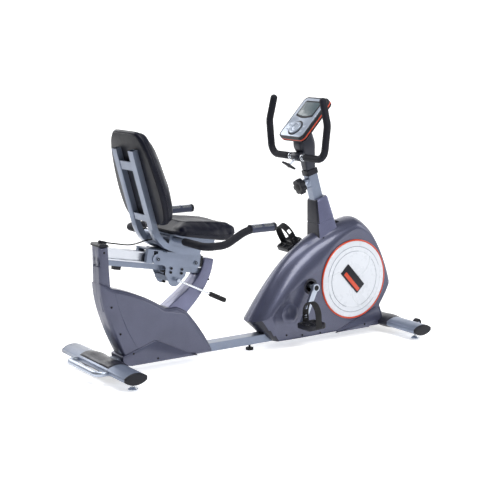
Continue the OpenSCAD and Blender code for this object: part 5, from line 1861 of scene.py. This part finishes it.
def add_upholstery(_settings):
    seat, seat_welt, seat_seam = build_seat_cushion()
    stands_for(seat, "seat_cushion")
    back, back_welt, back_seam, board = build_back_cushion()
    stands_for(back, "back_cushion")
    for piece in (seat_welt, seat_seam):
        goes_with(piece, "seat_cushion")
    for piece in (back_welt, back_seam, board):
        goes_with(piece, "back_cushion")


def add_handles(_settings):
    tubes, foams, grips = build_side_bars()
    stands_for(tubes, "side_bar")
    stands_for(foams, "side_bar_foam")
    stands_for(grips, "pulse_grips")
    bar_foam, rings, tube = build_handlebar()
    stands_for(bar_foam, "handlebar_foam")
    stands_for(tube, "handlebar")
    goes_with(rings, "handlebar")
    stands_for(build_post_knob(), "post_knob")
    stands_for(build_clamp_knob(), "clamp_knob")
    stands_for(build_boot(), "console_boot")


def add_console(s):
    face, glass, back, ring, button = build_console(s.console_length * MM, s.console_width * MM)
    stands_for(face, "console_bezel")
    stands_for(glass, "console_screen")
    stands_for(back, "console_housing")
    stands_for(ring, "console_dial")
    stands_for(button, "enter_button")


def add_drive(_settings):
    stands_for(build_pedal(False), "pedal_right")
    stands_for(build_pedal(True), "pedal_left")
    goes_with(build_crank_caps(), "crank_arms")


def add_small_parts(_settings):
    caps, sleeves = build_oval_parts()
    stands_for(caps, "stabilizer_caps")
    stands_for(sleeves, "joint_covers")
    stands_for(build_lever(), "release_lever")
    goes_with(build_plate_bolts(), "seat_carriage")
    stands_for(build_screws(), "cover_screws")


def add_lead(_settings):
    lead, path, length = build_cable()
    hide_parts("sensor_cable")
    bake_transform(lead)


def add_finishes(s):
    finish_cad_nodes(s.edge * MM)


def add_stage(s):
    build_stage()
    build_camera(CAMERA_AZIMUTH, CAMERA_ELEVATION, CAMERA_DISTANCE, s.lens)


STEPS = [
    ("materials", "Materials", "Make every procedural finish of the bike", add_materials),
    ("rear_cover", "Rear Cover", "Build the rear cover with its mast and arm", add_rear_cover),
    ("front_cover", "Front Cover", "Build the front cover, side discs and mast shroud", add_front_cover),
    ("upholstery", "Upholstery", "Build the seat and back cushions with their seams", add_upholstery),
    ("handles", "Handles", "Build the side bars, handlebar grips, knobs and boot", add_handles),
    ("console", "Console", "Build the console with its display, dial and button", add_console),
    ("drive", "Pedals", "Build the pedals with their straps and the crank caps", add_drive),
    ("small_parts", "Small Parts", "Build caps, sleeves, lever, bolts and screws", add_small_parts),
    ("lead", "Sensor Lead", "Build the pulse sensor lead", add_lead),
    ("finishes", "Metal Finishes", "Finish every CAD part that stays in view", add_finishes),
    ("stage", "Studio", "Build the floor sweep, lamps and camera", add_stage),
]

OPERATORS = [operator(*step) for step in STEPS]


class BIKE_PT_panel(bpy.types.Panel):
    """Buttons and sizes of the exercise bike in the 3D view's sidebar."""

    bl_idname = "BIKE_PT_panel"
    bl_label = "Exercise Bike"
    bl_space_type = "VIEW_3D"
    bl_region_type = "UI"
    bl_category = "Bike"

    def draw(self, context):
        for name in BikeSettings.__annotations__:
            self.layout.prop(context.scene.bike, name)
        for step in STEPS:
            self.layout.operator("bike." + step[0])


CLASSES = [BikeSettings, *OPERATORS, BIKE_PT_panel]


def register():
    """Registers the settings, the operators and the panel."""
    for item in CLASSES:
        bpy.utils.register_class(item)
    bpy.types.Scene.bike = PointerProperty(type=BikeSettings)


def unregister():
    """Takes back everything that register() added."""
    del bpy.types.Scene.bike
    for item in reversed(CLASSES):
        bpy.utils.unregister_class(item)


def main():
    """Builds the whole bike by its operators and notes its size before and after."""
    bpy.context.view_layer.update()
    register()
    for step in STEPS:
        result = getattr(bpy.ops.bike, step[0])()
        if result != {"FINISHED"}:
            raise RuntimeError("the step " + step[0] + " did not finish")


if __name__ == "__main__":
    main()
